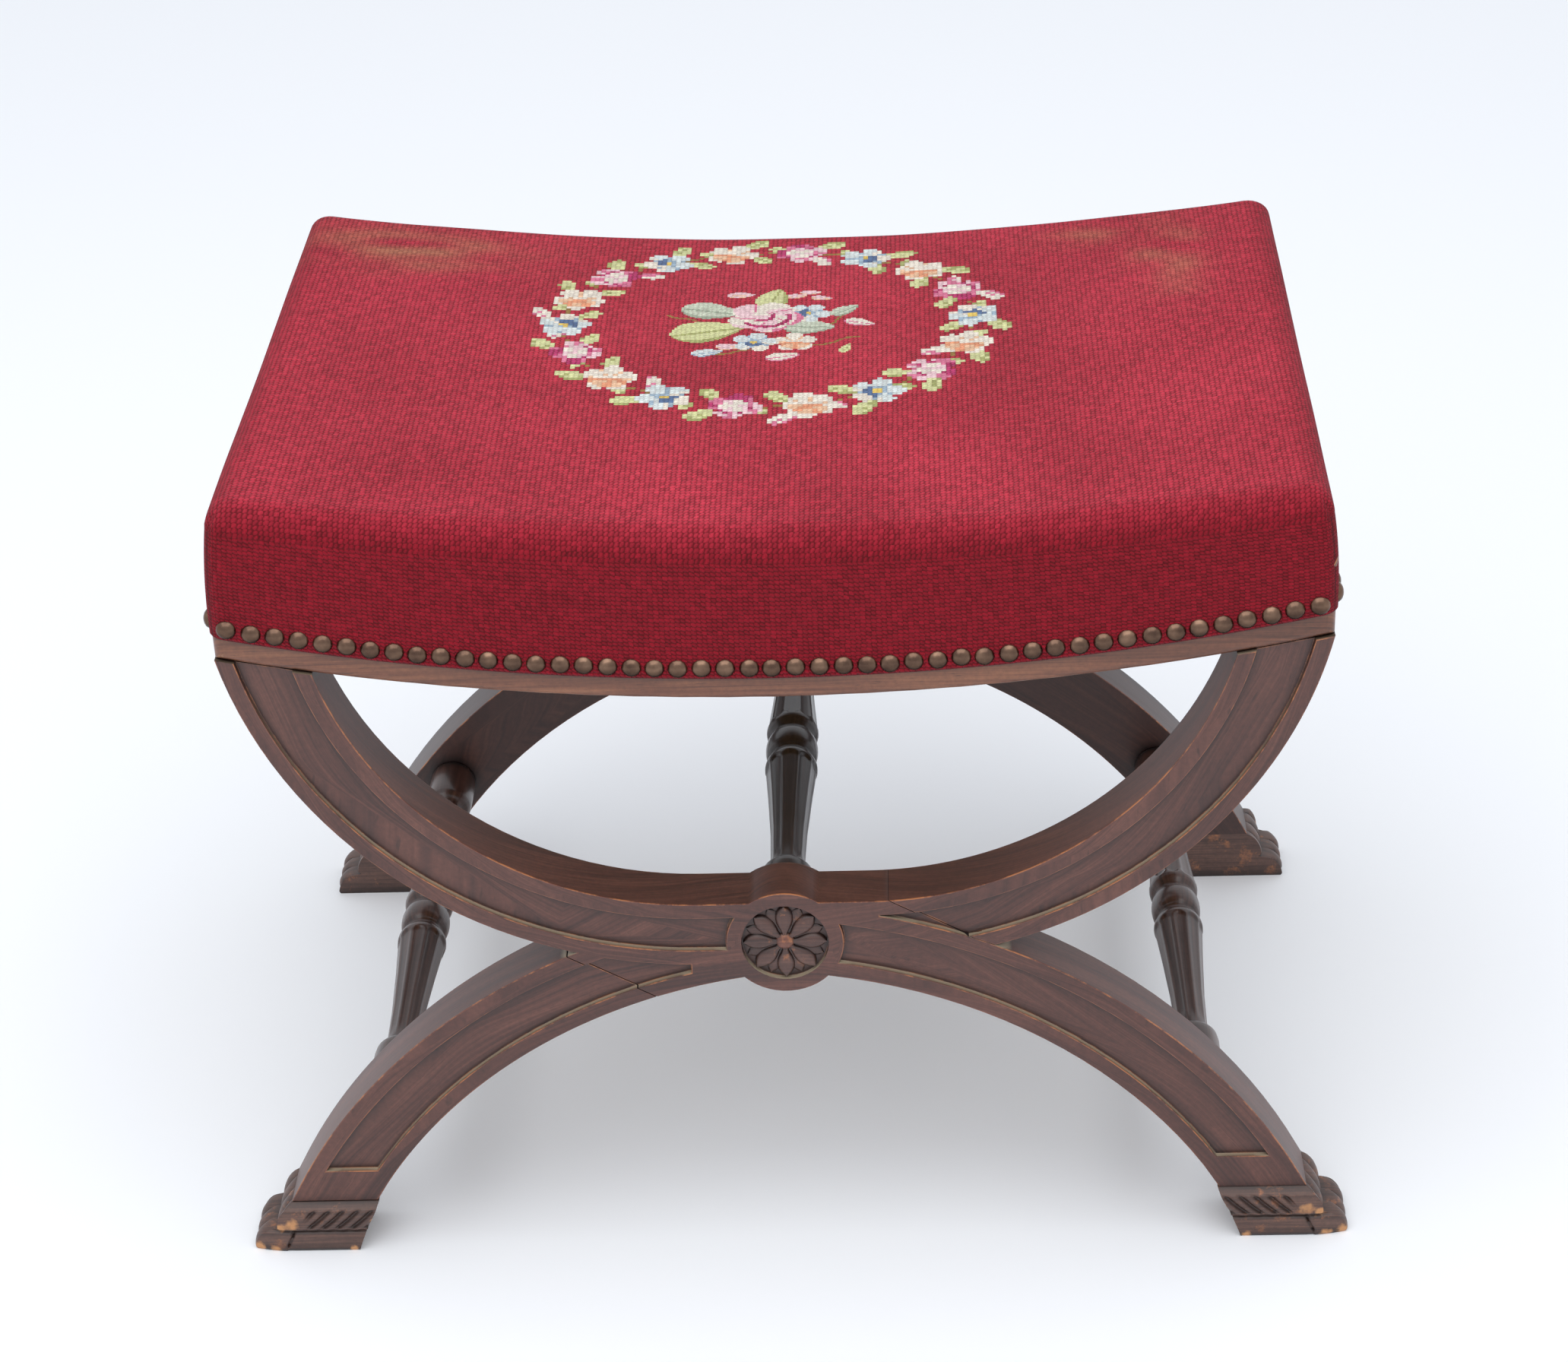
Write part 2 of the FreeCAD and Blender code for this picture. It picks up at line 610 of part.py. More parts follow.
def corner_blocks():
    """Glue blocks, three-cornered, in the angles of the seat frame."""
    x0 = "(rail_length/2 - side_rail_thick)"
    level = f"({arc_level(RAIL_RADIUS, x0)} + (rail_height - block_height)/2)"
    for end, along in (("front", -1), ("rear", 1)):
        for side, across in (("left", -1), ("right", 1)):
            corners = [
                (f"{across}*{x0}", f"{along}*{INNER}"),
                (f"{across}*({x0} - block_leg)", f"{along}*{INNER}"),
                (f"{across}*{x0}", f"{along}*({INNER} - block_leg)"),
            ]
            label = f"corner_block_{end}_{side}"
            keep(padded_body(label, "XY_Plane", corners[::along * across], "block_height",
                             z=f"{level} + block_height/2"), label)


# Upholstery

WEB_RADIUS = f"({RAIL_TOP_RADIUS} - layer_gap)"
HESSIAN_RADIUS = f"({WEB_RADIUS} - web_thick - layer_gap)"
STUFFING_RADIUS = f"({HESSIAN_RADIUS} - hessian_thick - layer_gap)"
SEAT_SAG_RADIUS = "((rail_length^2/4 + seat_sag^2)/(2*seat_sag))"
SEAT_CROWN_SAG = "(seat_sag - seat_crown)"
SEAT_CROWN_RADIUS = f"((rail_length^2/4 + {SEAT_CROWN_SAG}^2)/(2*{SEAT_CROWN_SAG}))"
SKIN = "(layer_gap + cover_thick)"


def layer(name, radius, thick, half_length, half_depth):
    """A thin curved layer laid over the seat frame."""
    sheet_ring = ring(name, radius, thick, "0", RAIL_CENTRE, f"-{half_depth}",
                      f"2*{half_depth}")
    span = box(f"{name}_span", f"-{half_length}", f"-{half_depth}", "rail_end_level - rail_sag",
               f"2*{half_length}", f"2*{half_depth}", "rail_height + 2*rail_sag")
    return common(f"{name}_sheet", sheet_ring, span)


def webbing_and_hessian():
    count = int((value("rail_length") - value("web_width")) / value("web_pitch")) + 1
    sheet_ring = ring("web", WEB_RADIUS, "web_thick", "0", RAIL_CENTRE,
                      "web_inset - frame_depth/2", "frame_depth - 2*web_inset")
    strips = []
    for number in range(count):
        start = f"({number} - {(count - 1) / 2})*web_pitch - web_width/2"
        strip = box(f"web_{number}_span", start, "-frame_depth/2", "rail_end_level - rail_sag",
                    "web_width", "frame_depth", "rail_height + 2*rail_sag")
        strips.append(common(f"web_{number}", sheet_ring, strip))
    group = doc.addObject("Part::Compound", "webbing")
    group.Links = strips
    keep(group, "seat_webbing")
    keep(layer("hessian", HESSIAN_RADIUS, "hessian_thick", "(rail_length/2 - hessian_inset)",
               "(frame_depth/2 - hessian_inset)"), "seat_hessian")


def seat_solid(body, name, kind, spread, lower_radius, drop):
    """A dished, crowned block lofted back to front: spread is added all round."""
    sections = []
    half = f"(rail_length/2 + {spread})"
    for number, (along, radius) in enumerate((
            (f"(frame_depth/2 + {spread})", SEAT_SAG_RADIUS),
            ("0", SEAT_CROWN_RADIUS),
            (f"-(frame_depth/2 + {spread})", SEAT_SAG_RADIUS))):
        low = arc_level(lower_radius, half)
        high = f"(seat_corner_level - {drop})"
        section = sketch_on(body, f"{name}_section_{number}", "XZ_Plane", f"-({along})")
        outline(section, [(f"-{half}", low), (half, low), (half, high), (f"-{half}", high)],
                {0: (lower_radius, -1), 2: (radius, 1)})
        sections.append(section)
    loft = body.newObject(kind, name)
    loft.Profile = sections[0]
    loft.Sections = sections[1:]
    return loft


def seat_block(name, spread, lower_radius, drop, edge):
    """A seat solid with its upright corners rounded first and then its top edges."""
    body = doc.addObject("PartDesign::Body", name)
    seat_solid(body, f"{name}_block", "PartDesign::AdditiveLoft", spread, lower_radius, drop)
    side = value(f"rail_length/2 + {spread}")
    front = value(f"frame_depth/2 + {spread}")
    upright = rounded(f"{name}_corners", body, f"corner_round + {spread}",
                      lambda ends: abs(ends[0].x - ends[1].x) < 0.01
                      and abs(ends[0].y - ends[1].y) < 0.01
                      and abs(abs(ends[0].x) - side) < 0.01
                      and abs(abs(ends[0].y) - front) < 0.01)
    top = value(f"seat_corner_level - {drop}") - value("corner_round") - 1
    return rounded(f"{name}_rounded", upright, edge,
                   lambda ends: min(ends[0].z, ends[1].z) > top)


def stuffing_and_cover():
    keep(seat_block("stuffing", "0", STUFFING_RADIUS, "(cover_thick + layer_gap)",
                    "seat_edge_round - cover_thick - layer_gap"), "seat_stuffing")
    skin = seat_block("cover_outer", SKIN, f"({RAIL_RADIUS} - cover_hem)", "0",
                      "seat_edge_round")
    hollow = seat_block("cover_inner", "layer_gap", RAIL_RADIUS, "cover_thick",
                        "seat_edge_round - cover_thick")
    keep(cut("cover", skin, hollow), "needlepoint_cover")


# Dome-headed nails

def nail_rows():
    """Close rows of nail heads, level with the rail's lower edge on every side."""
    corners = 8
    rings = []
    for radius, rise in ((value("nail_radius"), 0),
                         (value("nail_crown_radius"), value("nail_rise"))):
        turn = Rotation(Vector(0, 0, 1), 360 / corners)
        points = [Vector(radius, 0, rise)]
        for _ in range(corners - 1):
            points.append(turn.multVec(points[-1]))
        rings.append(Part.makePolygon(points + points[:1]))
    head = Part.makeLoft(rings, True, True)
    pitch = value("nail_pitch")
    radius = value(f"{RAIL_RADIUS} - nail_line")
    centre = value(RAIL_CENTRE)
    half_length = value(f"rail_length/2 + {SKIN}")
    half_depth = value(f"frame_depth/2 + {SKIN}")
    end_level = centre - (radius**2 - (half_length - value(SKIN)) ** 2) ** 0.5

    def steps(length):
        count = int((length - 2 * value("nail_radius + nail_end_room")) / pitch) + 1
        return [(number - (count - 1) / 2) * pitch for number in range(count)]

    for label, facing in (("nails_front", Vector(0, -1, 0)), ("nails_rear", Vector(0, 1, 0)),
                          ("nails_left", Vector(-1, 0, 0)), ("nails_right", Vector(1, 0, 0))):
        heads = []
        turn = Rotation(Vector(0, 0, 1), facing)
        if facing.y:
            places = [Vector(x, facing.y * half_depth, centre - (radius**2 - x**2) ** 0.5)
                      for x in steps(value("rail_length"))]
        else:
            places = [Vector(facing.x * half_length, y, end_level)
                      for y in steps(value("frame_depth"))]
        for place in places:
            copy = head.copy()
            copy.Placement = Placement(place, turn)
            heads.append(copy)
        row = doc.addObject("Part::Feature", label)
        row.Shape = Part.makeCompound(heads)
        keep(row, label)


for end, turned in (("front", False), ("rear", True)):
    x_frame(end, turned)
pegs()
foot()
for label, place, shoulder in zip(
        ("stretcher_centre", "stretcher_left", "stretcher_right"), STRETCHER_PLACES,
        ("shoulder_radius", "low_shoulder_radius", "low_shoulder_radius")):
    stretcher(label, *place, shoulder)
rails()
corner_blocks()
webbing_and_hessian()
stuffing_and_cover()
nail_rows()
doc.recompute()

for item in doc.Objects:
    if "Invalid" in item.State or "Error" in item.State:
        raise RuntimeError(f"{item.Name} failed: {item.State}")
for item in subparts:
    if item.Shape.isNull() or not item.Shape.isValid():
        raise RuntimeError(f"{item.Label} has no valid shape")

os.makedirs("parts", exist_ok=True)
for item in subparts:
    item.Shape.exportStep(f"parts/{item.Label}.step")
    print(f"{item.Label}: {len(item.Shape.Solids)} solid(s), {item.Shape.Volume:.0f} mm3")
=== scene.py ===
# An X frame stool with a needlepoint seat, dressed for its photograph.
# Metres. X runs along the stool, -Y is its front and Z is up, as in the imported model.
import random
from math import atan2, cos, exp, hypot, pi, radians, sin, sqrt, tau

import bmesh
import bpy
from mathutils import Matrix, Vector, noise
from mathutils.bvhtree import BVHTree


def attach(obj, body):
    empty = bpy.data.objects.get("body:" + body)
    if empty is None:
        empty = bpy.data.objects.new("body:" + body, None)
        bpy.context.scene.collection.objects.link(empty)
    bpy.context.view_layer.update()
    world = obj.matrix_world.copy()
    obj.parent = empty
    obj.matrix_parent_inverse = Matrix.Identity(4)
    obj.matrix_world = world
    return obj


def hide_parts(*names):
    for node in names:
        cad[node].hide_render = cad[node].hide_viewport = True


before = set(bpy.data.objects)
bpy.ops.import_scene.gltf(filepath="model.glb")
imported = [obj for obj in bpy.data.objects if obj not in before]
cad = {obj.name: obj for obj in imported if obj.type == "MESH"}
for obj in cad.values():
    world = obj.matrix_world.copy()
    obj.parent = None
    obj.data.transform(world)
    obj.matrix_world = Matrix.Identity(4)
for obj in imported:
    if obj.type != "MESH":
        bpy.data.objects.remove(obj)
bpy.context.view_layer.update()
MM = 0.001

# Camera
# The photograph looks down on the stool from the front, a little to the right of its
# middle, from about two metres away and through a long lens.
CAMERA_PLACE = (0.0722, -1.709, 1.2467)
TURNED, LOOKING_DOWN, TILTED = 2.514, 30.347, -2.53
FOCAL_LENGTH = 80.64

bpy.ops.object.camera_add(location=CAMERA_PLACE)
camera = bpy.context.object
camera.rotation_euler = (Matrix.Rotation(radians(TURNED), 3, "Z")
                         @ Matrix.Rotation(radians(90 - LOOKING_DOWN), 3, "X")
                         @ Matrix.Rotation(radians(TILTED), 3, "Z")).to_euler()
camera.data.sensor_width = 36
camera.data.lens = FOCAL_LENGTH
bpy.context.scene.camera = camera

# Floor and lamps
# A roll of cool white background paper under the stool, lit from above by one broad
# soft lamp, with a weaker one in front and pale surroundings on every side.
bpy.context.scene.view_settings.view_transform = "Standard"


def linear(code):
    """An sRGB hex colour as the linear values that a shader takes."""
    channels = [int(code[at:at + 2], 16) / 255 for at in (1, 3, 5)]
    return [c / 12.92 if c <= 0.04045 else ((c + 0.055) / 1.055) ** 2.4
            for c in channels] + [1.0]


def wire(tree, node, sockets):
    """Fills a node's sockets, each with a link, a hex colour or a plain value."""
    for name, given in sockets.items():
        if isinstance(given, bpy.types.NodeSocket):
            tree.links.new(given, node.inputs[name])
        else:
            node.inputs[name].default_value = linear(given) if isinstance(given, str) else given


def add(tree, kind, sockets=None, stops=(), **fields):
    """Adds a node with its settings, its sockets and the stops of its colour ramp."""
    made = tree.nodes.new("ShaderNode" + kind)
    for field, setting in fields.items():
        setattr(made, field, setting)
    wire(tree, made, sockets or {})
    for number, (place, colour) in enumerate(stops):
        steps = made.color_ramp.elements
        stop = steps[number] if number < 2 else steps.new(place)
        stop.position = place
        stop.color = linear(colour) if isinstance(colour, str) else colour
    return made


def finish_named(name):
    """An empty material: its node tree and its shader, ready for the finish."""
    made = bpy.data.materials.new(name)
    made.use_nodes = True
    return made, made.node_tree, made.node_tree.nodes["Principled BSDF"]


def only(piece):
    """Makes one object the selected and active one."""
    bpy.ops.object.select_all(action="DESELECT")
    piece.select_set(True)
    bpy.context.view_layer.objects.active = piece
    return piece


def named(name):
    """Names the object and the mesh that the last operator made."""
    piece = bpy.context.object
    piece.name = piece.data.name = name
    return piece


bpy.ops.mesh.primitive_plane_add(size=16, location=(0, 3, 0))
floor = named("floor")
paper, tree, shader = finish_named("background paper")
wire(tree, shader, {"Base Color": "#F8FAFD", "Roughness": 0.9, "Specular IOR Level": 0.1})
floor.data.materials.append(paper)

world = bpy.data.worlds.new("pale surroundings")
world.use_nodes = True
wire(world.node_tree, world.node_tree.nodes["Background"],
     {"Color": "#F5F8FD", "Strength": 0.885})
bpy.context.scene.world = world

for place, tilt, width, depth, power in (
        ((-0.2, -1.5, 2.5), (0, 0, 0), 3.5, 3.5, 48),
        ((-1.6, -2.6, 2.0), (radians(55), 0, radians(-30)), 1.6, 1.2, 3)):
    bpy.ops.object.light_add(type="AREA", location=place, rotation=tilt)
    lamp = bpy.context.object.data
    lamp.shape = "RECTANGLE"
    lamp.size, lamp.size_y, lamp.energy = width, depth, power

# X frames
# Each is a long S-shaped limb of stained beech with an arm and a leg scarfed to it,
# sawn from the plank and carved with sunk panels. The polish has worn through to
# orange wood along the arrises.
ARRIS = 0.6 * MM
RAIL_SWEEP = 1321.67 * MM
RAIL_CENTRE = 1667.67 * MM
FOOT_TOP = 31.5 * MM
LEG_END = 36 * MM
LEG_SPREAD = 2.4 * MM
FACE_Y = 191 * MM
ROSETTE_Z = 198 * MM
BOWL_LEVEL = 416 * MM
ARCH_LEVEL = -113 * MM
SEAM = 0.5 * MM
SINK = 3 * MM
SINK_RADIUS = 23 * MM
NEAR = 0.3 * MM

# Lengths and widths of the marks in the wood, then the sizes of its mottles, about 3 mm,
# and of the patches where the polish is rubbed through, about 14 mm, as noise scales.
STREAK = (70 * MM, 1.6 * MM, 1)
BAND = (160 * MM, 12 * MM, 1)
PORE = (8 * MM, 0.7 * MM, 1)
MOTTLES = 330.0
PATCHES = 70.0


def stained_wood(name, dark, mid, light, rubbed=0.0, gloss=0.4, dusty=0.0):
    """Beech stained reddish brown and polished: streaks, pores, old dirty polish and painted
    shade in the hollows.

    Its grain map holds metres along and across the grain, and the streaks are a little
    coarser than in the wood so that they show. rubbed is the share where the raw wood
    shows through on what faces up, where it is worn, while the arrises that face down are
    left unworn as painted shade; gloss is the polish's roughness, and dusty is how thick
    the dust lies on the ledges below the seat.
    """
    made, tree, shader = finish_named(name)
    coords = add(tree, "TexCoord").outputs
    grain = add(tree, "UVMap", uv_map="grain").outputs["UV"]
    layers = []
    for size, settings in ((STREAK, {"Detail": 6.0, "Roughness": 0.6, "Distortion": 0.3}),
                           (BAND, {"Detail": 4.0}), (PORE, {"Detail": 2.0})):
        drawn = add(tree, "Mapping", {"Vector": grain, "Scale": size},
                    vector_type="TEXTURE").outputs[0]
        layers.append(add(tree, "TexNoise", {"Vector": drawn, "Scale": 1.0, **settings}
                          ).outputs["Fac"])
    streaks, bands, pores = layers
    figure = add(tree, "Mix", {"Factor": 0.5, 2: streaks, 3: bands}).outputs[0]
    colour = add(tree, "ValToRGB", {"Fac": figure}, [(0.36, dark), (0.5, mid), (0.66, light)]
                 ).outputs["Color"]
    pored = add(tree, "ValToRGB", {"Fac": pores}, [
        (0.62, (0, 0, 0, 1)), (0.72, (0.55, 0.55, 0.55, 1))]).outputs["Color"]
    colour = add(tree, "Mix", {"Factor": pored, 6: colour, 7: "#2A1510"},
                 data_type="RGBA").outputs[2]
    mottle = add(tree, "TexNoise", {"Vector": coords["Object"], "Scale": MOTTLES,
                                    "Detail": 6.0, "Roughness": 0.65}).outputs["Fac"]
    mottle = add(tree, "MapRange", {"Value": mottle, "From Min": 0.3, "From Max": 0.7,
                                    "To Min": 0.8, "To Max": 1.18}).outputs[0]
    colour = add(tree, "VectorMath", {0: colour, "Scale": mottle}, operation="SCALE").outputs[0]
    upward = add(tree, "SeparateXYZ", {"Vector": coords["Normal"]}).outputs["Z"]
    if rubbed:
        patch = add(tree, "TexNoise", {"Vector": coords["Object"], "Scale": PATCHES,
                                       "Detail": 5.0, "Roughness": 0.75}).outputs["Fac"]
        edge = 0.5 + (0.5 - rubbed) * 0.3
        bare = add(tree, "ValToRGB", {"Fac": patch}, [
            (edge - 0.07, (0, 0, 0, 1)), (edge + 0.07, (0.85, 0.85, 0.85, 1))]).outputs["Color"]
        # Only the arrises that face up show the raw wood: partly real wear, partly painted shade
        # that keeps the downward arrises dark.
        worn_up_shaded_down = add(tree, "MapRange", {"Value": upward, "From Min": -0.35, "From Max": 0.1}
                      ).outputs[0]
        bare = add(tree, "Math", {0: bare, 1: worn_up_shaded_down}, operation="MULTIPLY").outputs[0]
        colour = add(tree, "Mix", {"Factor": bare, 6: colour, 7: "#AE6C3F"},
                     data_type="RGBA").outputs[2]
    # Painted shade: ambient occlusion darkens the hollows, creases and corners, standing also
    # for old polish and dirt gathered there.
    hollow = add(tree, "AmbientOcclusion", {"Distance": 7 * MM}, samples=8).outputs["AO"]
    grime_and_shade = add(tree, "ValToRGB", {"Fac": hollow}, [
        (0.55, (0.16, 0.12, 0.1, 1)), (1.0, (1, 1, 1, 1))]).outputs["Color"]
    colour = add(tree, "Mix", {"Factor": 0.9, 6: colour, 7: grime_and_shade},
                 data_type="RGBA", blend_type="MULTIPLY").outputs[2]
    if dusty:
        ledge = add(tree, "MapRange", {"Value": upward, "From Min": 0.25, "From Max": 0.7}
                    ).outputs[0]
        dust = (dusty, dusty, dusty, 1)
        sunk = add(tree, "ValToRGB", {"Fac": hollow}, [
            (0.2, (0, 0, 0, 1)), (0.38, dust), (0.6, dust), (0.85, (0, 0, 0, 1))]
                   ).outputs["Color"]
        settled = add(tree, "Math", {0: ledge, 1: sunk}, operation="MULTIPLY").outputs[0]
        level = add(tree, "SeparateXYZ", {"Vector": coords["Object"]}).outputs["Z"]
        below = add(tree, "MapRange", {"Value": level, "From Min": 0.38, "From Max": 0.36}
                    ).outputs[0]
        settled = add(tree, "Math", {0: settled, 1: below}, operation="MULTIPLY").outputs[0]
        colour = add(tree, "Mix", {"Factor": settled, 6: colour, 7: "#B9A88E"},
                     data_type="RGBA").outputs[2]
    rough = add(tree, "MapRange", {"Value": streaks, "To Min": gloss - 0.06,
                                   "To Max": gloss + 0.14}).outputs[0]
    relief = add(tree, "Bump", {"Height": streaks, "Distance": 0.2 * MM,
                                "Strength": 0.3}).outputs[0]
    wire(tree, shader, {"Base Color": colour, "Roughness": rough, "Normal": relief,
                        "Coat Weight": 0.3, "Coat Roughness": 0.36})
    return made


def lay_grain(piece, measure):
    """Maps the grain: measure gives a place's metres along and across it."""
    mesh = piece.data
    grain = mesh.uv_layers.get("grain") or mesh.uv_layers.new(name="grain")
    for corner in mesh.loops:
        grain.data[corner.index].uv = measure(mesh.vertices[corner.vertex_index].co)


def limb_grain(co):
    """Grain that follows the bowl above the boss and the arch below it."""
    level, turn = (BOWL_LEVEL, 1) if co.z > ROSETTE_Z else (ARCH_LEVEL, -1)
    radius = hypot(co.x, co.z - level)
    return 0.25 * atan2(co.x, turn * (level - co.z)), radius + co.y


def board_grain(co):
    return co.x, co.z + co.y


def sign(value):
    return 1 if value > 0 else -1


limb_wood = stained_wood("stained beech of the frames", "#371B15", "#502C23", "#683F33",
                         dusty=0.75)
arris_wood = stained_wood("worn arrises of the frames", "#42221A", "#60362A", "#81503D",
                          rubbed=0.42, dusty=0.75)
# Painted shade: the rear frame takes a darker copy of the frames' stain, for the shade it stands
# in behind and under the seat.
shaded_wood = stained_wood("rear frame beech darkened as painted shade", "#28130E", "#391D16", "#492A20")
glue, tree, shader = finish_named("old glue in the scarfs")
wire(tree, shader, {"Base Color": "#1C0F0B", "Roughness": 0.8})


def copy_of(mesh, name):
    """A new object of that name with its own copy of the mesh."""
    piece = bpy.data.objects.new(name, mesh.copy())
    piece.data.name = name
    bpy.context.scene.collection.objects.link(piece)
    return piece


def edit_all():
    """Goes into edit mode with the whole mesh selected."""
    bpy.ops.object.mode_set(mode="EDIT")
    bpy.ops.mesh.select_all(action="SELECT")


def face_outward():
    """Turns the faces of the active piece outward and leaves edit mode."""
    edit_all()
    bpy.ops.mesh.normals_make_consistent(inside=False)
    bpy.ops.object.mode_set(mode="OBJECT")


def merged_copy(node, name):
    """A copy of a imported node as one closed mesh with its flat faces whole."""
    piece = only(copy_of(cad[node].data, name))
    bpy.ops.mesh.customdata_custom_splitnormals_clear()
    edit_all()
    bpy.ops.mesh.remove_doubles(threshold=2e-6)
    bpy.ops.mesh.dissolve_limited(angle_limit=radians(0.4))
    bpy.ops.object.mode_set(mode="OBJECT")
    piece.data.materials.clear()
    return piece


def in_a_joint(co):
    """Whether a place lies on the rails' curve, on the feet or on the sunk circle's rim."""
    return (co.z > RAIL_CENTRE - sqrt(RAIL_SWEEP ** 2 - co.x ** 2) - NEAR
            or co.z < LEG_END + NEAR
            or abs(hypot(co.x, co.z - ROSETTE_Z) - SINK_RADIUS) < NEAR)


def surface_of(node):
    """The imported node's surface, to measure distances from."""
    mesh = cad[node].data
    return BVHTree.FromPolygons([vertex.co for vertex in mesh.vertices],
                                [face.vertices for face in mesh.polygons])


def touches(co, mates, gap):
    """Whether a place lies on a piece that is glued to this one."""
    return any(mate.find_nearest(co)[3] < gap for mate in mates)


def ease_arrises(piece, width, face_finish, edge_finish, kept=lambda co: False):
    """Rounds the sharp edges that stand out and gives the rounding the worn finish.

    The hollow edges stay sharp, and so does each edge that is kept at both its ends and
    its middle.
    """
    piece.data.materials.append(face_finish)
    piece.data.materials.append(edge_finish)
    only(piece)
    bpy.ops.object.mode_set(mode="EDIT")
    bpy.ops.mesh.select_mode(type="EDGE")
    bpy.ops.mesh.select_all(action="DESELECT")
    bpy.ops.mesh.edges_select_sharp(sharpness=radians(32))
    bpy.ops.object.mode_set(mode="OBJECT")
    work = bmesh.new()
    work.from_mesh(piece.data)
    hollows = {edge.index for edge in work.edges if not edge.is_convex}
    work.free()
    for edge in piece.data.edges:
        start, stop = (piece.data.vertices[v].co for v in edge.vertices)
        if edge.index in hollows or all(kept(co) for co in (start, stop, (start + stop) / 2)):
            edge.select = False
    bpy.ops.object.mode_set(mode="EDIT")
    bpy.ops.mesh.bevel(offset=width, segments=2, affect="EDGES", clamp_overlap=False,
                       material=1)
    bpy.ops.mesh.select_mode(type="VERT")
    bpy.ops.object.mode_set(mode="OBJECT")
    bpy.ops.object.shade_smooth_by_angle(angle=radians(35))
    weights = piece.modifiers.new("flat faces stay flat", "WEIGHTED_NORMAL")
    weights.keep_sharp = True
    bpy.ops.object.modifier_apply(modifier=weights.name)


def pick(piece, wanted):
    """Selects the vertices whose place is wanted, and stays in edit mode."""
    if piece.mode == "OBJECT":
        bpy.ops.object.mode_set(mode="EDIT")
    bpy.ops.mesh.select_mode(type="VERT")
    bpy.ops.mesh.select_all(action="DESELECT")
    bpy.ops.object.mode_set(mode="OBJECT")
    for vertex in piece.data.vertices:
        vertex.select = wanted(vertex.co)
    bpy.ops.object.mode_set(mode="EDIT")


def clear_rosette(piece, side):
    """Takes the plain petals out of the sunk circle and closes its floor."""
    floor_y = side * (FACE_Y - SINK)
    only(piece)
    pick(piece, lambda co: hypot(co.x, co.z - ROSETTE_Z) < SINK_RADIUS - NEAR
         and side * co.y > FACE_Y - SINK - 1 * MM)
    bpy.ops.mesh.delete(type="VERT")
    pick(piece, lambda co: abs(hypot(co.x, co.z - ROSETTE_Z) - SINK_RADIUS) < 0.2 * MM
         and abs(co.y - floor_y) < 0.1 * MM)
    bpy.ops.mesh.edge_face_add()
    face_outward()


for end, side in (("front", -1), ("rear", 1)):
    scarfed = [surface_of(f"{end}_{part}") for part in ("upper_arm", "lower_leg")]
    limb = surface_of(f"{end}_main_limb")
    for part, carved in (("main_limb", "s_limb"), ("upper_arm", "scarfed_arm"),
                         ("lower_leg", "scarfed_leg")):
        piece = merged_copy(f"{end}_{part}", f"{end}_{carved}")
        if part == "main_limb":
            clear_rosette(piece, side)
            mates = scarfed
        else:
            mates = [limb]
            for vertex in piece.data.vertices:
                if touches(vertex.co, mates, 0.03 * MM):
                    vertex.co.x += SEAM / 2 * sign(vertex.co.x)
        for vertex in piece.data.vertices:
            if vertex.co.z < LEG_END + NEAR:
                vertex.co.z = FOOT_TOP
                vertex.co.x += LEG_SPREAD * sign(vertex.co.x)
        ease_arrises(piece, ARRIS, limb_wood if side < 0 else shaded_wood, arris_wood,
                     lambda co: in_a_joint(co) or touches(co, mates, SEAM))
        piece.data.materials.append(glue)
        for face in piece.data.polygons:
            if all(touches(piece.data.vertices[v].co, mates, 1.2 * SEAM)
                   for v in face.vertices):
                face.material_index = 2
        lay_grain(piece, limb_grain)
        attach(piece, "root")
        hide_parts(f"{end}_{part}")

# Rosettes
# A flower carved in the sunk circle where the limbs cross: eight pointed petals with
# eight more behind them and a round button, cut with gouges from the same wood.
PETALS = 16
PETAL_LENGTH = 18.2 * MM
PETAL_WIDTH = 9.6 * MM
PETAL_ROOT = 3.9 * MM
PETAL_FOOT = 0.3 * MM
FRONT_LIFT, BACK_LIFT = 3.2 * MM, 1.1 * MM
BUTTON_RADIUS = 5.3 * MM
BUTTON_HEIGHT = 0.72


def petal(name, length, width, root, lift, foot):
    """One petal, pointed at its tip, domed across and hollowed a little down its middle."""
    bpy.ops.mesh.primitive_grid_add(x_subdivisions=8, y_subdivisions=12, size=2)
    piece = named(name)
    for vertex in piece.data.vertices:
        across, along = vertex.co.x, (vertex.co.y + 1) / 2
        swell = sin(pi * along ** 1.25) ** 0.62 if 0 < along < 1 else 0.0
        half = width / 2 * max(swell, 0.4 * (1 - along), 0.015)
        crown = lift * (0.72 + 0.28 * sin(pi * min(1, along * 1.05)))
        crown *= 1 - 0.7 * abs(across) ** 3
        vein = 0.12 * lift * exp(-(across / 0.25) ** 2) * (1 - along)
        vertex.co = Vector((across * half, -(crown - vein), root + along * length))
    only(piece)
    edit_all()
    bpy.ops.mesh.extrude_region_move()
    bpy.ops.object.mode_set(mode="OBJECT")
    for vertex in piece.data.vertices:
        if vertex.select:
            vertex.co.y = foot
    face_outward()
    return piece


def joined(pieces, name):
    """Joins the pieces into the first of them and names the whole."""
    only(pieces[0])
    for piece in pieces:
        piece.select_set(True)
    bpy.ops.object.join()
    return named(name)


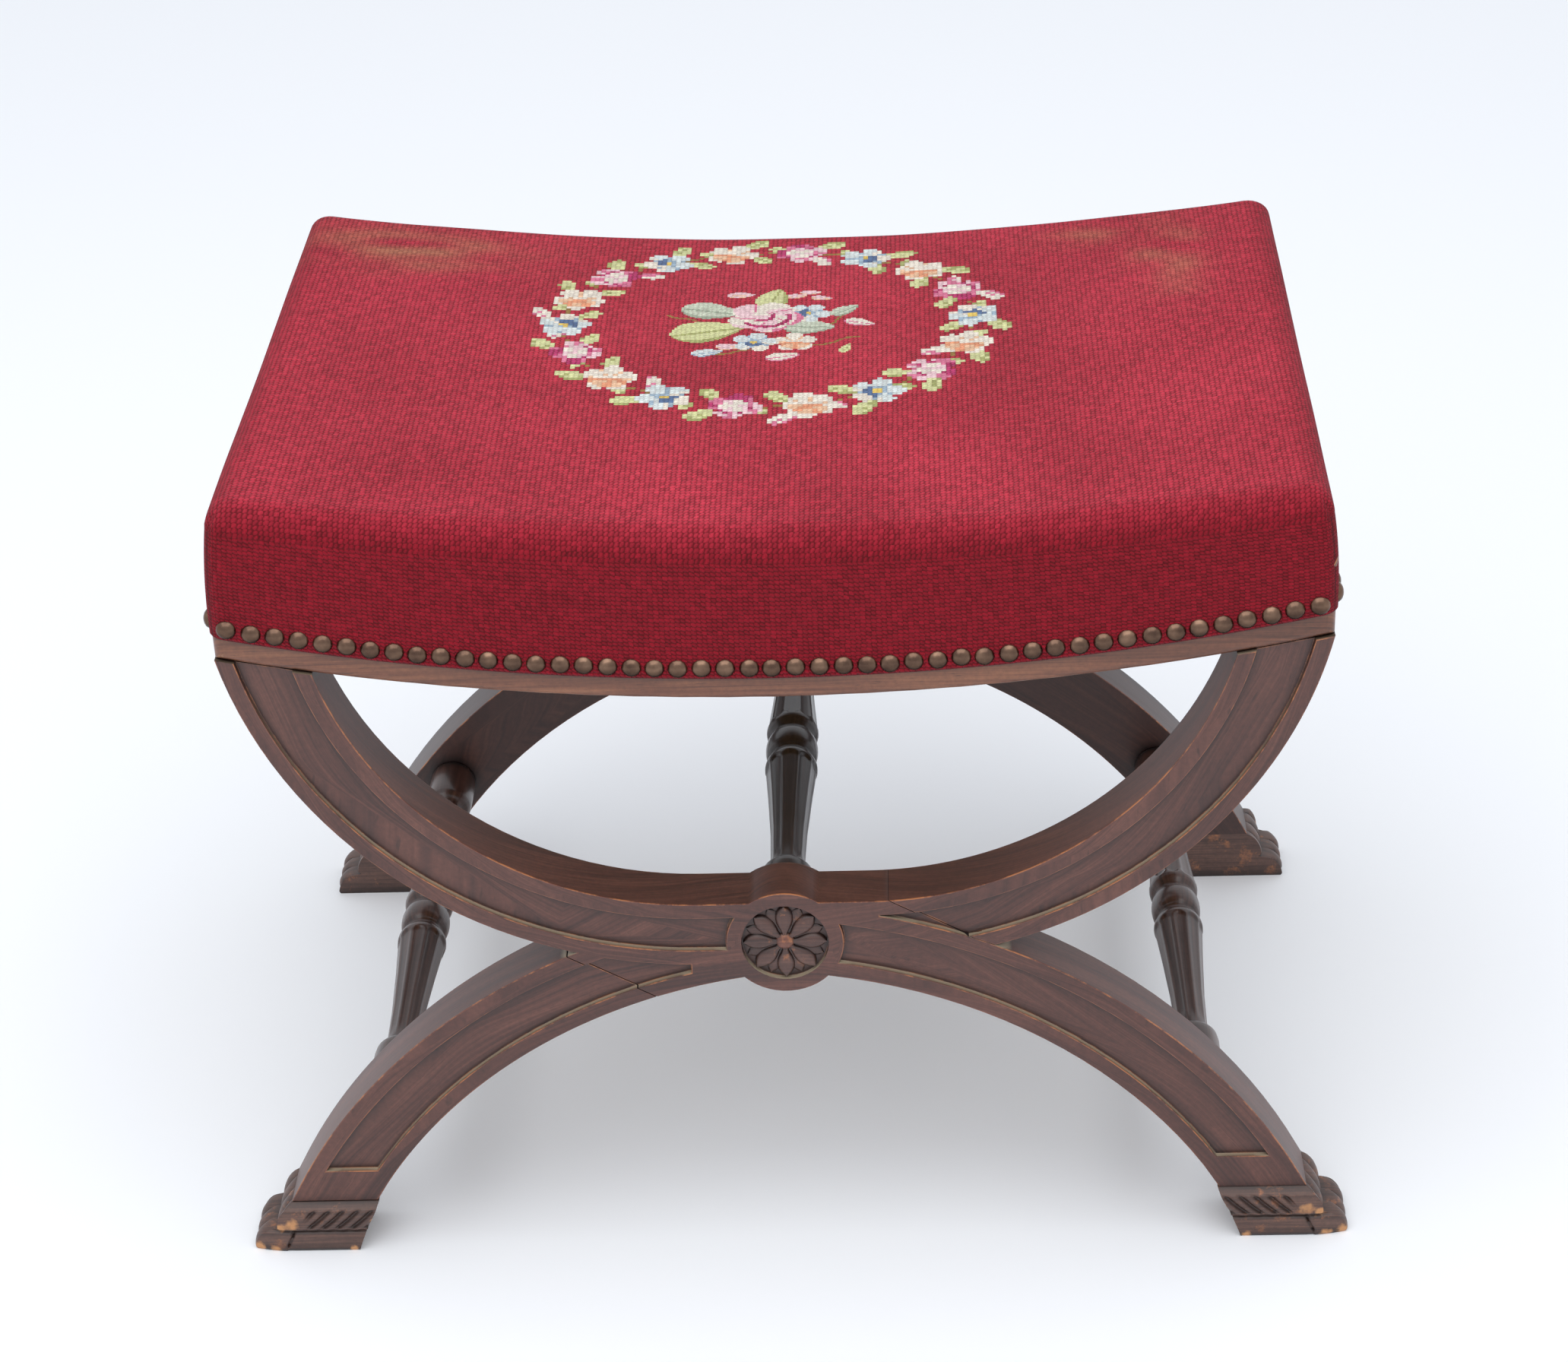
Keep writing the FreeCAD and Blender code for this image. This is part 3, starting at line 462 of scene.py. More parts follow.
rosette_wood = stained_wood("gouge-cut wood of the rosettes", "#311C16", "#492C24",
                            "#624136", rubbed=0.08)
button_wood = stained_wood("worn wood of the buttons", "#4C271D", "#6E3F30", "#8A5640",
                           rubbed=0.3)
for end, side in (("front", -1), ("rear", 1)):
    leaves = []
    for number in range(PETALS):
        back = number % 2
        leaf = petal(f"{end}_petal_{number}", PETAL_LENGTH * (0.98 if back else 1.0),
                     PETAL_WIDTH * (0.8 if back else 1.0), PETAL_ROOT,
                     BACK_LIFT if back else FRONT_LIFT, PETAL_FOOT)
        leaf.data.transform(Matrix.Rotation(tau * number / PETALS, 4, "Y"))
        leaf.data.materials.append(rosette_wood)
        leaves.append(leaf)
    bpy.ops.mesh.primitive_uv_sphere_add(segments=24, ring_count=12, radius=BUTTON_RADIUS)
    button = named(f"{end}_button")
    button.data.transform(Matrix.Diagonal((1, BUTTON_HEIGHT, 1, 1)))
    button.data.materials.append(button_wood)
    flower = joined([button] + leaves, f"{end}_rosette")
    place = Matrix.Translation((0, side * (FACE_Y - SINK), ROSETTE_Z))
    if side > 0:
        place = place @ Matrix.Rotation(pi, 4, "Z")
    flower.data.transform(place)
    only(flower)
    bpy.ops.object.shade_smooth_by_angle(angle=radians(50))
    lay_grain(flower, board_grain)
    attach(flower, "root")

# Feet
# Paw feet carved from blocks pegged under the legs: a cuff with a broad chamfer and
# slanting gouged locks, a plinth under it, and two tiers of toes at the outer end.
TIER = 14.2 * MM
CUFF_TOP = 27.5 * MM
CHAMFER = 4.8 * MM
FOOT_FRONT = -196 * MM
FOOT_DEPTH = 35 * MM
FOOT_INNER = 243 * MM
CUFF_TAPER = 13 * MM
TOES = 3
LOCK_PITCH = 8 * MM
LOCK_DEPTH = 1.9 * MM
LOCK_SLANT = 16 * MM
LOCKS_END = 274 * MM


def groove(across, width):
    return exp(-(across / width) ** 2)


def paw_point(a, b, c):
    """The place on the paw of a point on a unit block: a out, b back and c up."""
    z = c * FOOT_TOP
    inner = FOOT_INNER - CUFF_TAPER * c ** 1.15

    # The rounded outer end of each tier, which the clefts between its toes cut into
    if z <= TIER:
        rise = z / TIER
        outer = 288.5 * MM + 13.5 * MM * max(0, 1 - rise ** 2.6) ** 0.45
        if z < 2 * MM:
            outer -= 1.2 * MM * (1 - z / (2 * MM)) ** 2
        deep, shift, base = 0.3, 0.0, 284 * MM
    else:
        rise = (z - TIER) / (FOOT_TOP - TIER)
        outer = 277 * MM + 11.5 * MM * max(0, 1 - rise ** 1.9) ** 0.62
        deep, shift, base = 0.26, 0.5, 268 * MM
    swing = (b * TOES + shift + 0.3 * (1 - rise)) % 1 * 2 - 1
    valley = 1 - sqrt(max(0, 1 - 0.98 * swing * swing))
    outer = base + (outer - base) * (1 - deep * valley * (1 - 0.5 * rise ** 4))
    outer -= 1.8 * MM * groove(z - TIER, 1.1 * MM)
    x = inner + (outer - inner) * a

    # How deep the front is cut: chamfer, step between the tiers, lower arris, locks, and
    # the line on the plinth beside the toes
    depth = 0.0
    if z > CUFF_TOP:
        depth += CHAMFER * ((z - CUFF_TOP) / (FOOT_TOP - CUFF_TOP)) ** 1.3
    depth += 2.2 * MM * groove(z - TIER + 0.6 * MM, 1.0 * MM)
    if z < 1.5 * MM:
        depth += 0.7 * MM * (1 - z / (1.5 * MM))
    if TIER < z < CUFF_TOP + 1 * MM:
        high = (z - TIER) / (CUFF_TOP + 1 * MM - TIER)
        bend = LOCK_SLANT * high ** 0.8
        run = (x + 3.2 * MM + bend) / LOCK_PITCH % 1
        fade = min(1, high / 0.14) * min(1, (1 - high) / 0.12)
        fade *= min(1, max(0, (LOCKS_END - x) / (5 * MM)))
        depth += LOCK_DEPTH * fade * groove(run - 0.5, 0.19)
        depth -= 0.4 * MM * fade * sin(tau * run)
    if z < TIER - 1 * MM:
        seam = 281 * MM + 2.2 * MM * cos(z / TIER * pi)
        depth += 1.7 * MM * groove(x - seam, 0.9 * MM) * min(1, max(0, z / MM - 1) / 3)
        depth += 0.6 * MM * (x < seam)
    bulge = 0.8 * MM * max(0, (x - 276 * MM) / (12 * MM)) ** 2
    front = FOOT_FRONT + depth + bulge
    back = FOOT_FRONT + FOOT_DEPTH
    return Vector((x, front + (back - front) * b, z))


bpy.ops.mesh.primitive_cube_add(size=1, location=(0.5, 0.5, 0.5))
paw = named("paw_blank")
bpy.ops.object.transform_apply(location=True)
edit_all()
bpy.ops.mesh.subdivide(number_cuts=79)
bpy.ops.object.mode_set(mode="OBJECT")

# Spots where the polish is knocked off: place and reach in millimetres
RUBBED = ((279, -194, 19, 5), (286, -195, 16, 4), (299, -193, 2, 4), (233, -195, 21, 3),
          (246, -196, 1, 3), (290, -196, 1, 4))
rub = paw.data.attributes.new("rubbed", "FLOAT", "POINT")
for vertex in paw.data.vertices:
    vertex.co = paw_point(*vertex.co)
    rub.data[vertex.index].value = max(
        exp(-(vertex.co - Vector(spot[:3]) * MM).length_squared / (spot[3] * MM) ** 2)
        for spot in RUBBED)
paw_wood = stained_wood("carved wood of the feet", "#33201A", "#4F352C", "#6B4B3E",
                        rubbed=0.05, gloss=0.45)
tree = paw_wood.node_tree
shader = tree.nodes["Principled BSDF"]
plain = shader.inputs["Base Color"].links[0].from_socket
share = add(tree, "Attribute", attribute_name="rubbed").outputs["Fac"]
speckle = add(tree, "TexNoise", {"Vector": add(tree, "TexCoord").outputs["Object"],
                                 "Scale": 300.0, "Detail": 5.0}).outputs["Fac"]
total = add(tree, "Math", {0: share, 1: speckle}, operation="ADD").outputs[0]
scaled = add(tree, "MapRange", {"Value": total, "From Min": 0.88, "From Max": 1.3}).outputs[0]
worn = add(tree, "Mix", {"Factor": scaled, 6: plain, 7: "#B98352"},
           data_type="RGBA").outputs[2]
wire(tree, shader, {"Base Color": worn})
paw.data.materials.append(paw_wood)
lay_grain(paw, board_grain)
only(paw)
bpy.ops.object.shade_smooth_by_angle(angle=radians(60))
for end, flip_y in (("front", 1), ("rear", -1)):
    for hand, flip_x in (("right", 1), ("left", -1)):
        foot = only(copy_of(paw.data, f"paw_{end}_{hand}"))
        foot.data.transform(Matrix.Diagonal((flip_x, flip_y, 1, 1)))
        face_outward()
        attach(foot, "root")
        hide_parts(f"foot_{end}_{hand}")
bpy.data.objects.remove(paw)

# Stretchers
# Three bars turned on a lathe and stained darker than the frames: a plain collar at
# each end, then a fluted trumpet that swells to a shoulder beside the middle bead.
FLUTES = 10
FLUTE_START, FLUTE_END = 20.5, 121
FLUTE_DEPTH = 0.085

# Distance from the middle of the bar and radius there, in millimetres
STATIONS = (
    (161, 13.6), (160, 14.4), (150, 14.8), (133, 14.8), (129, 14.3), (126, 12.8),
    (124.4, 10.6), (123.4, 9.7), (121, 9.5), (116, 9.6), (104, 9.9), (87, 10.4), (71, 11.4),
    (59, 12.1), (47, 12.9), (38, 13.6), (31, 14.1), (26, 14.5), (22, 14.8), (19.5, 14.9),
    (17.6, 14.7), (15.8, 14.0), (14.4, 12.9), (13.2, 12.1), (12, 11.8), (10.4, 11.8),
    (9.4, 12.2), (8.6, 13.0), (7.2, 13.9), (5, 14.5), (2.5, 14.8), (0, 14.9))


def radius_at(along):
    for (far, wide), (near, narrow) in zip(STATIONS, STATIONS[1:]):
        if near <= along <= far:
            return narrow + (wide - narrow) * (along - near) / (far - near)
    return STATIONS[0][1]


def turned_bar(name, x, z, girth):
    """Extrudes a round bar station by station, then hollows its flutes."""
    stops = [along for along, _ in STATIONS]
    fine = [along for high, low in zip(stops, stops[1:])
            for along in (high, high - (high - low) / 3, high - 2 * (high - low) / 3)] + [0]
    fine = [-along for along in fine] + fine[-2::-1]
    bpy.ops.mesh.primitive_circle_add(vertices=90, radius=1, fill_type="NGON")
    piece = named(name)
    piece.data.transform(Matrix.Rotation(pi / 2, 4, "X"))
    only(piece)
    edit_all()
    for _ in fine[1:]:
        bpy.ops.mesh.extrude_region_move(TRANSFORM_OT_translate={"value": (0, 1, 0)})
    face_outward()
    for vertex in piece.data.vertices:
        along = fine[round(vertex.co.y)]
        reach = abs(along)
        radius = radius_at(reach) * girth
        angle = atan2(vertex.co.z, vertex.co.x)
        swing = (angle / tau * FLUTES) % 1 * 2 - 1
        if FLUTE_START < reach < FLUTE_END:
            start = FLUTE_START + 5.5 * (1 - sqrt(max(0, 1 - swing * swing)))
            depth = min(1, max(0, (reach - start) / 1.2)) * min(1, (FLUTE_END - reach) / 10)
            radius *= 1 - FLUTE_DEPTH * max(0, 1 - abs(swing) ** 2.6) * depth
        vertex.co = Vector((x + radius * MM * cos(angle), along * MM,
                            z + radius * MM * sin(angle)))
    return piece


# Painted shade: the middle bar, under the seat, takes a darker copy of the side bars' finish.
bar_woods = [
    stained_wood("polished turning darkened as painted shade", "#150A08", "#22120E", "#36201A", gloss=0.3),
    stained_wood("polished turnings", "#25140F", "#3D251E", "#57382D", gloss=0.3)]
for finish in bar_woods:
    wire(finish.node_tree, finish.node_tree.nodes["Principled BSDF"], {"Coat Roughness": 0.18})
for node, name, x, z, girth in (
        ("stretcher_centre", "turned_bar_centre", 0, 198, 1.0),
        ("stretcher_left", "turned_bar_left", -220.5, 84, 0.95),
        ("stretcher_right", "turned_bar_right", 220.5, 84, 0.95)):
    bar = turned_bar(name, x * MM, z * MM, girth)
    bar.data.materials.append(bar_woods[1 if x else 0])
    only(bar)
    bpy.ops.object.shade_smooth_by_angle(angle=radians(48))
    lay_grain(bar, lambda co: (co.y, atan2(co.z - z * MM, co.x - x * MM) * 12 * MM))
    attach(bar, "root")
    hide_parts(node)

# Seat rails
# Four beech rails, the long ones sawn to the sweep of the seat. Only a strip along
# their lower edge shows below the cover, browner than the frames. Glue blocks and
# pegs of plain beech hold the corners.
rail_wood = stained_wood("stained beech of the rails", "#4C2919", "#6E412C", "#89583C")
rail_edge = stained_wood("worn edges of the rails", "#5C3826", "#80563E", "#A27656",
                         rubbed=0.34)
HALF_LENGTH = 280 * MM
HALF_DEPTH = 191 * MM
RAIL_CORNER = 6 * MM
for hand in ("front", "rear", "left", "right"):
    rail = merged_copy(f"rail_{hand}", f"seat_rail_{hand}")
    pick(rail, lambda co: abs(co.x) > HALF_LENGTH - NEAR and abs(co.y) > HALF_DEPTH - NEAR)
    bpy.ops.mesh.bevel(offset=RAIL_CORNER, segments=4, affect="EDGES")
    bpy.ops.object.mode_set(mode="OBJECT")
    ease_arrises(rail, ARRIS, rail_wood, rail_edge)
    lay_grain(rail, board_grain if hand in ("front", "rear") else
              lambda co: (co.y, co.z + co.x))
    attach(rail, "root")
    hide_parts(f"rail_{hand}")

block_wood, tree, shader = finish_named("plain beech of the blocks")
fibres = add(tree, "Mapping", {"Vector": add(tree, "TexCoord").outputs["Object"],
                               "Scale": (0.04, 0.04, 0.002)}, vector_type="TEXTURE").outputs[0]
fibres = add(tree, "TexNoise", {"Vector": fibres, "Scale": 1.0, "Detail": 5.0}).outputs["Fac"]
fibres = add(tree, "ValToRGB", {"Fac": fibres}, [(0.35, "#7D5B3F"), (0.65, "#AC8761")]
             ).outputs["Color"]
wire(tree, shader, {"Base Color": fibres, "Roughness": 0.6})
for node in ["rail_dowels", "foot_dowels"] + [
        f"corner_block_{end}_{hand}" for end in ("front", "rear") for hand in ("left", "right")]:
    cad[node].data.materials.clear()
    cad[node].data.materials.append(block_wood)

# Webbing and hessian
# Eight jute straps run from the front rail to the rear one, and a sheet of hessian
# lies on them. Both follow the sweep of the rails and show only from below.
RAIL_TOP = RAIL_SWEEP - 42 * MM
STRAPS = 8
STRAP_PITCH = 72 * MM
STRAP_WIDTH = 50 * MM


def woven(name, dark, light, thread, gap):
    """Plain weave: threads over and under in both directions, one thread width apart."""
    made, tree, shader = finish_named(name)
    place = add(tree, "TexCoord").outputs["Object"]
    across, along = (
        add(tree, "TexWave", {"Vector": place, "Scale": 1 / thread / 3.18, "Distortion": 0.6,
                              "Detail": 2.0}, bands_direction=way,
            wave_profile="SIN").outputs["Fac"] for way in "XY")
    height = add(tree, "Math", {0: across, 1: along}, operation="MAXIMUM").outputs[0]
    # Painted shade: the threads are coloured darker where they dip between one another.
    colour = add(tree, "ValToRGB", {"Fac": height}, [(gap, dark), (gap + 0.45, light)]
                 ).outputs["Color"]
    relief = add(tree, "Bump", {"Height": height, "Distance": 0.6 * MM,
                                "Strength": 0.8}).outputs[0]
    wire(tree, shader, {"Base Color": colour, "Normal": relief, "Roughness": 0.9})
    return made


def swept(x, sweep):
    return RAIL_CENTRE - sqrt(sweep * sweep - x * x)


def thicken(piece, thickness):
    """Gives a sheet its thickness, all of it upwards."""
    only(piece)
    solid = piece.modifiers.new("thickness", "SOLIDIFY")
    solid.thickness, solid.offset = thickness, 1
    bpy.ops.object.modifier_apply(modifier=solid.name)


jute = woven("jute webbing", "#6E5636", "#B59A6B", 1.6 * MM, 0.3)
hessian_cloth = woven("hessian", "#4E3B25", "#A98C5E", 1.2 * MM, 0.35)
straps = []
for number in range(STRAPS):
    middle = (number - (STRAPS - 1) / 2) * STRAP_PITCH
    bpy.ops.mesh.primitive_grid_add(x_subdivisions=8, y_subdivisions=40, size=2)
    strap = named(f"strap_{number}")
    for vertex in strap.data.vertices:
        x = middle + vertex.co.x * STRAP_WIDTH / 2
        y = vertex.co.y * (HALF_DEPTH - 5 * MM)
        dip = 1.0 * MM * max(0, 1 - (y / (HALF_DEPTH - 30 * MM)) ** 2)
        vertex.co = Vector((x, y, swept(x, RAIL_TOP - 0.3 * MM) - dip))
    thicken(strap, 1.6 * MM)
    straps.append(strap)
webbing = joined(straps, "jute_straps")
webbing.data.materials.append(jute)
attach(webbing, "root")
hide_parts("seat_webbing")

bpy.ops.mesh.primitive_grid_add(x_subdivisions=80, y_subdivisions=20, size=2)
hessian = named("hessian_sheet")
for vertex in hessian.data.vertices:
    x = vertex.co.x * (HALF_LENGTH - 4 * MM)
    y = vertex.co.y * (HALF_DEPTH - 4 * MM)
    vertex.co = Vector((x, y, swept(x, RAIL_TOP - 2.4 * MM)))
thicken(hessian, 1.0 * MM)
hessian.data.materials.append(hessian_cloth)
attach(hessian, "root")
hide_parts("seat_hessian")

# Seat stuffing
# Horsehair under cotton wadding, built up on the hessian to a firm dished pad that is
# a little fuller in the middle.
COVER_X = 281.3 * MM
COVER_Y = 192.9 * MM
CORNER_Z = 459 * MM
EDGE_ROUND = 15 * MM
LEAN_X = 3.3 * MM
LEAN_Y = 4 * MM


def seat_level(x, y):
    """Height of the seat before its edges are rounded: dished along it, crowned across.

    The stuffing has settled, so that the left end stands a little higher, and it has
    heaved up a little at the rear corners.
    """
    sag = 15 * MM + 6 * MM * (y / COVER_Y) ** 2
    settled = 3 * MM * x / COVER_X
    heaved = 2 * MM * max(0, y / COVER_Y) * (x / COVER_X) ** 2
    return CORNER_Z - settled + heaved - sag * (1 - (x / COVER_X) ** 2)


wadding, tree, shader = finish_named("cotton wadding")
tufts = add(tree, "TexNoise", {"Vector": add(tree, "TexCoord").outputs["Object"],
                               "Scale": 90.0, "Detail": 6.0}).outputs["Fac"]
fleece = add(tree, "ValToRGB", {"Fac": tufts}, [(0.35, "#A89878"), (0.65, "#D8CBAE")]
             ).outputs["Color"]
relief = add(tree, "Bump", {"Height": tufts, "Distance": 2 * MM}).outputs[0]
wire(tree, shader, {"Base Color": fleece, "Normal": relief, "Roughness": 0.95})
bpy.ops.mesh.primitive_grid_add(x_subdivisions=56, y_subdivisions=38, size=2)
pad = only(named("seat_pad"))
edit_all()
bpy.ops.mesh.extrude_region_move()
bpy.ops.object.mode_set(mode="OBJECT")
for vertex in pad.data.vertices:
    across, along = vertex.co.x, vertex.co.y
    x, y = across * (HALF_LENGTH - 12 * MM), along * (HALF_DEPTH - 8 * MM)
    edge = max(abs(across), abs(along))
    if vertex.select:
        z = seat_level(x, y) - 4 * MM - 8 * MM * max(0, (edge - 0.94) / 0.06) ** 2
    else:
        z = swept(x, RAIL_TOP - 4.2 * MM)
    vertex.co = Vector((x, y, z))
face_outward()
pad.data.materials.append(wadding)
bpy.ops.object.shade_smooth_by_angle(angle=radians(50))
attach(pad, "root")
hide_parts("seat_stuffing")

# Needlepoint cover
# Wool tent stitch on canvas of ten threads to the inch, one mesh face to a stitch. It
# is stretched over the pad and nailed round the rails. A wreath of flowers and a
# bouquet are worked on the red ground, behind the middle of the seat.
STITCHES_X = 220
STITCHES_Y = 150
SIDE_ROWS = 28
HEM_SWEEP = RAIL_SWEEP - 14 * MM
TURNED_UNDER = 1.4 * MM
CORNER_PLAN = 8 * MM
SLACK_SIDE, SLACK_TOP = 0.4 * MM, 0.9 * MM
PULLED_RIGHT = 3.5 * MM
WREATH_X, WREATH_Y, BOUQUET_REACH = -4.6, 49.0, 66
UNEVEN_DYE = 0.15
random.seed(7)

bpy.ops.mesh.primitive_grid_add(x_subdivisions=STITCHES_X, y_subdivisions=STITCHES_Y, size=2)
cover = only(named("needlepoint_seat"))
edit_all()
bpy.ops.mesh.region_to_loop()
for _ in range(SIDE_ROWS + 1):
    bpy.ops.mesh.extrude_region_move(TRANSFORM_OT_translate={"value": (0, 0, -1)})
bpy.ops.object.mode_set(mode="OBJECT")

arc = pi / 2 * EDGE_ROUND
flat_x = COVER_X - LEAN_X - EDGE_ROUND
flat_y = COVER_Y - LEAN_Y - EDGE_ROUND

# The bouquet is worked at half the pitch, so its faces are divided once more.
pick(cover, lambda co: co.z == 0 and hypot(
    co.x * (flat_x + arc) / MM - WREATH_X,
    co.y * (flat_y + arc) / MM - WREATH_Y) < BOUQUET_REACH)
bpy.ops.mesh.subdivide(number_cuts=1)
bpy.ops.object.mode_set(mode="OBJECT")


def over_edge(share, flat):
    """How far out a stitch lies, and the cosine of the turn it has made over the edge."""
    run = abs(share) * (flat + arc)
    if run <= flat:
        return sign(share) * run, 1.0
    turn = (run - flat) / EDGE_ROUND
    return sign(share) * (flat + EDGE_ROUND * sin(turn)), cos(turn)


def rounded_plan(x, y, reach_x, reach_y):
    """Rounds the corners of the seat seen from above."""
    dx = abs(x) - (reach_x - CORNER_PLAN)
    dy = abs(y) - (reach_y - CORNER_PLAN)
    if dx > 0 and dy > 0:
        shrink = max(dx, dy) / hypot(dx, dy)
        dx, dy = dx * shrink, dy * shrink
        x = (reach_x - CORNER_PLAN + dx) * sign(x)
        y = (reach_y - CORNER_PLAN + dy) * sign(y)
    return x, y


mesh = cover.data
canvas = []
for vertex in mesh.vertices:
    p, q, down = vertex.co.x, vertex.co.y, round(-vertex.co.z)
    at_end, at_long_side = abs(p) > 0.9999, abs(q) > 0.9999
    x, turn_x = over_edge(p, flat_x)
    y, turn_y = over_edge(q, flat_y)
    canvas.append((p * STITCHES_X / 2, q * STITCHES_Y / 2, down))
    high = seat_level(x, y) - EDGE_ROUND * (1 - turn_x * turn_y)
    share = min(down, SIDE_ROWS) / SIDE_ROWS
    lean = 1 - (1 - share) ** 2.2
    reach_x, reach_y = COVER_X - LEAN_X * (1 - lean), COVER_Y - LEAN_Y * (1 - lean)
    under = TURNED_UNDER if down > SIDE_ROWS else 0
    if at_end:
        x = (reach_x - under) * sign(p)
    elif down:
        x *= reach_x / (COVER_X - LEAN_X)
    if at_long_side:
        y = (reach_y - under) * sign(q)
    elif down:
        y *= reach_y / (COVER_Y - LEAN_Y)
    x, y = rounded_plan(x, y, reach_x, reach_y)
    low = RAIL_CENTRE - sqrt(HEM_SWEEP ** 2 - min(abs(x), HALF_LENGTH) ** 2)
    z = high - (high - low) * share
    slack = noise.noise(Vector((x, y, z)) * 13)
    if down:
        x += SLACK_SIDE * sin(pi * share) * abs(slack) * sign(x)
        y += SLACK_SIDE * sin(pi * share) * abs(slack) * sign(y)
    else:
        z += SLACK_TOP * slack
    rear = (y / COVER_Y + 1) / 2
    x += PULLED_RIGHT * rear * (1 - share) ** 4 * abs(x / COVER_X) ** 3
    vertex.co = Vector((x, y, z))

# The stitches are numbered on the flat canvas, which the side rows carry on from.
def middle_of(face):
    """The middle of a stitch on the flat canvas, and how many rows down it lies."""
    places = [canvas[v] for v in face.vertices]
    return [sum(place[k] for place in places) / len(places) for k in range(3)]


uv = mesh.uv_layers.new(name="canvas")
for face in mesh.polygons:
    middle = middle_of(face)
    on_end = abs(middle[0]) > STITCHES_X / 2 - 0.01
    for loop in face.loop_indices:
        p, q, down = canvas[mesh.loops[loop].vertex_index]
        if not middle[2]:
            uv.data[loop].uv = p, q
        elif on_end:
            uv.data[loop].uv = p + down * sign(p), q
        else:
            uv.data[loop].uv = q + down * sign(q), -p

# Motifs of the embroidery, each given by its kind, place, size and turn
BERRY, ROSE, BLUSH, CREAM = "#C23C70", "#DE7C9A", "#EFCCD0", "#EFE6D6"
PEACH, SALMON, SKY, MIST = "#F0C4A0", "#EAA07A", "#A2B8C8", "#DCE5E3"
NAVY, GOLD, LEAF, SAGE = "#5B7499", "#E8C868", "#DADDA2", "#CDD5BF"
OLIVE, STEM = "#AEB272", "#9A7A42"
WREATH_A, WREATH_B = 112.0, 104.4


def outside(rho, theta, count, turn, notch):
    """Whether a place lies beyond the rim of a flower with round petals."""
    return rho > 1 - notch * (1 - abs(sin(count / 2 * (theta - turn)))) ** 1.4


def blossom(kind, rho, theta, turn):
    """The colour of a small flower, from the distance and the angle from its middle."""
    lobe = abs(sin(2.5 * (theta - turn)))
    if kind == "blue":
        if outside(rho, theta, 5, turn, 0.34):
            return None
        if rho < 0.16:
            return GOLD
        if rho < 0.46 and cos(theta - turn - 2.6) > 0.25:
            return NAVY
        if lobe < 0.35 and rho < 0.8 or rho < 0.3:
            return SKY
        return MIST if cos(theta - turn) > -0.5 else CREAM
    if kind == "peach":
        if outside(rho, theta, 5, turn, 0.3):
            return None
        if rho < 0.75 and cos(theta + 1.7) > 0.0:
            return SALMON if lobe < 0.6 or rho < 0.3 else PEACH
        if lobe < 0.3 and rho < 0.7:
            return PEACH
        return CREAM
    if outside(rho, theta, 4, turn, 0.3):
        return None
    if rho < 0.5:
        return BLUSH if sin(3 * theta + turn) > 0.3 else CREAM
    if cos(theta - turn) > 0.45 or abs(rho - 0.6) < 0.05:
        return BERRY if cos(3 * theta + turn) > -0.4 else ROSE
    return BLUSH if lobe > 0.4 else ROSE


def motif_colour(motif, x, y):
    """The colour that a motif gives a stitch, or None beside it."""
    kind, cx, cy, size, turn = motif
    dx, dy = x - cx, y - cy
    if abs(dx) > size * 1.7 or abs(dy) > size * 1.7:
        return None
    if kind in ("blue", "peach", "pink"):
        return blossom(kind, hypot(dx, dy) / size, atan2(dy, dx), turn)
    u = (dx * cos(turn) + dy * sin(turn)) / size
    v = (dy * cos(turn) - dx * sin(turn)) / size
    if kind == "stem":
        return STEM if abs(u) < 1 and abs(v - 0.12 * sin(3 * u)) < 0.9 / size else None
    if abs(u) >= 1:
        return None
    half = (0.62 if size > 12 else 0.5) * (1 - u * u) ** 0.7 * (1 - 0.35 * u)
    if abs(v) > half:
        return None
    shades = {"leaf": (LEAF, OLIVE), "sage": (SAGE, "#A5B19B"), "bud": (BLUSH, PEACH),
              "bluebud": (MIST, SKY), "rosebud": (CREAM, ROSE)}[kind]
    return shades[1] if abs(v + 0.04) < 0.05 or v < -half * 0.7 else shades[0]


def on_wreath(angle, share=1.0):
    return WREATH_X + share * WREATH_A * cos(angle), WREATH_Y + share * WREATH_B * sin(angle)


BLOSSOMS = 18
motifs = []
for number in range(BLOSSOMS):
    angle = radians(102 - 360 / BLOSSOMS * number)
    kind = ("peach", "pink", "blue")[number % 3]
    motifs.append((kind, *on_wreath(angle), 14.6 if kind == "pink" else 14.8, angle + number))
for number in range(BLOSSOMS):
    between = radians(92 - 360 / BLOSSOMS * number)
    for side, shift, size, lean in ((1.12, 3, 10, 0.7), (1.03, -4, 8, 2.4), (0.9, 2, 9, -0.8)):
        fresh = (number * 3 + shift) % 5
        motifs.append(("leaf" if fresh else "rosebud",
                       *on_wreath(between + radians(shift), side), size,
                       between + pi / 2 + lean))
    motifs.append(("stem", *on_wreath(between), 12, between + pi / 2))
WREATH_COUNT = len(motifs)
motifs += [
    ("blue", 17, 63, 12, 0.4), ("blue", -12, 25, 12.5, 2.0), ("peach", 10, 25, 12, 1.0),
    ("leaf", -38, 39, 21, 0.3), ("leaf", -3, 83, 14, 1.3), ("sage", -37, 66, 17, -0.25),
    ("sage", 17, 45, 15, -0.1), ("bud", -21, 88, 8, 0.1), ("bud", 10, 86, 6, 0.2),
    ("bud", 18, 91, 6, 0.0), ("bud", 24, 83, 6, -0.2), ("rosebud", 4, 6, 10, 0.3),
    ("sage", 37, 66, 10, 0.7), ("rosebud", 45, 49, 9, -0.4), ("stem", 33, 54, 12, 0.9),
    ("stem", 33, 25, 14, 0.35), ("bluebud", -37, 11, 9, 0.25), ("stem", -22, 12, 12, 0.2),
    ("leaf", 38, 15, 6, 1.2), ("stem", -52, 56, 10, -0.5), ("bud", -25, 19, 8, 0.1),
]
ROSE_X, ROSE_Y, ROSE_SIZE = -7, 58, 21


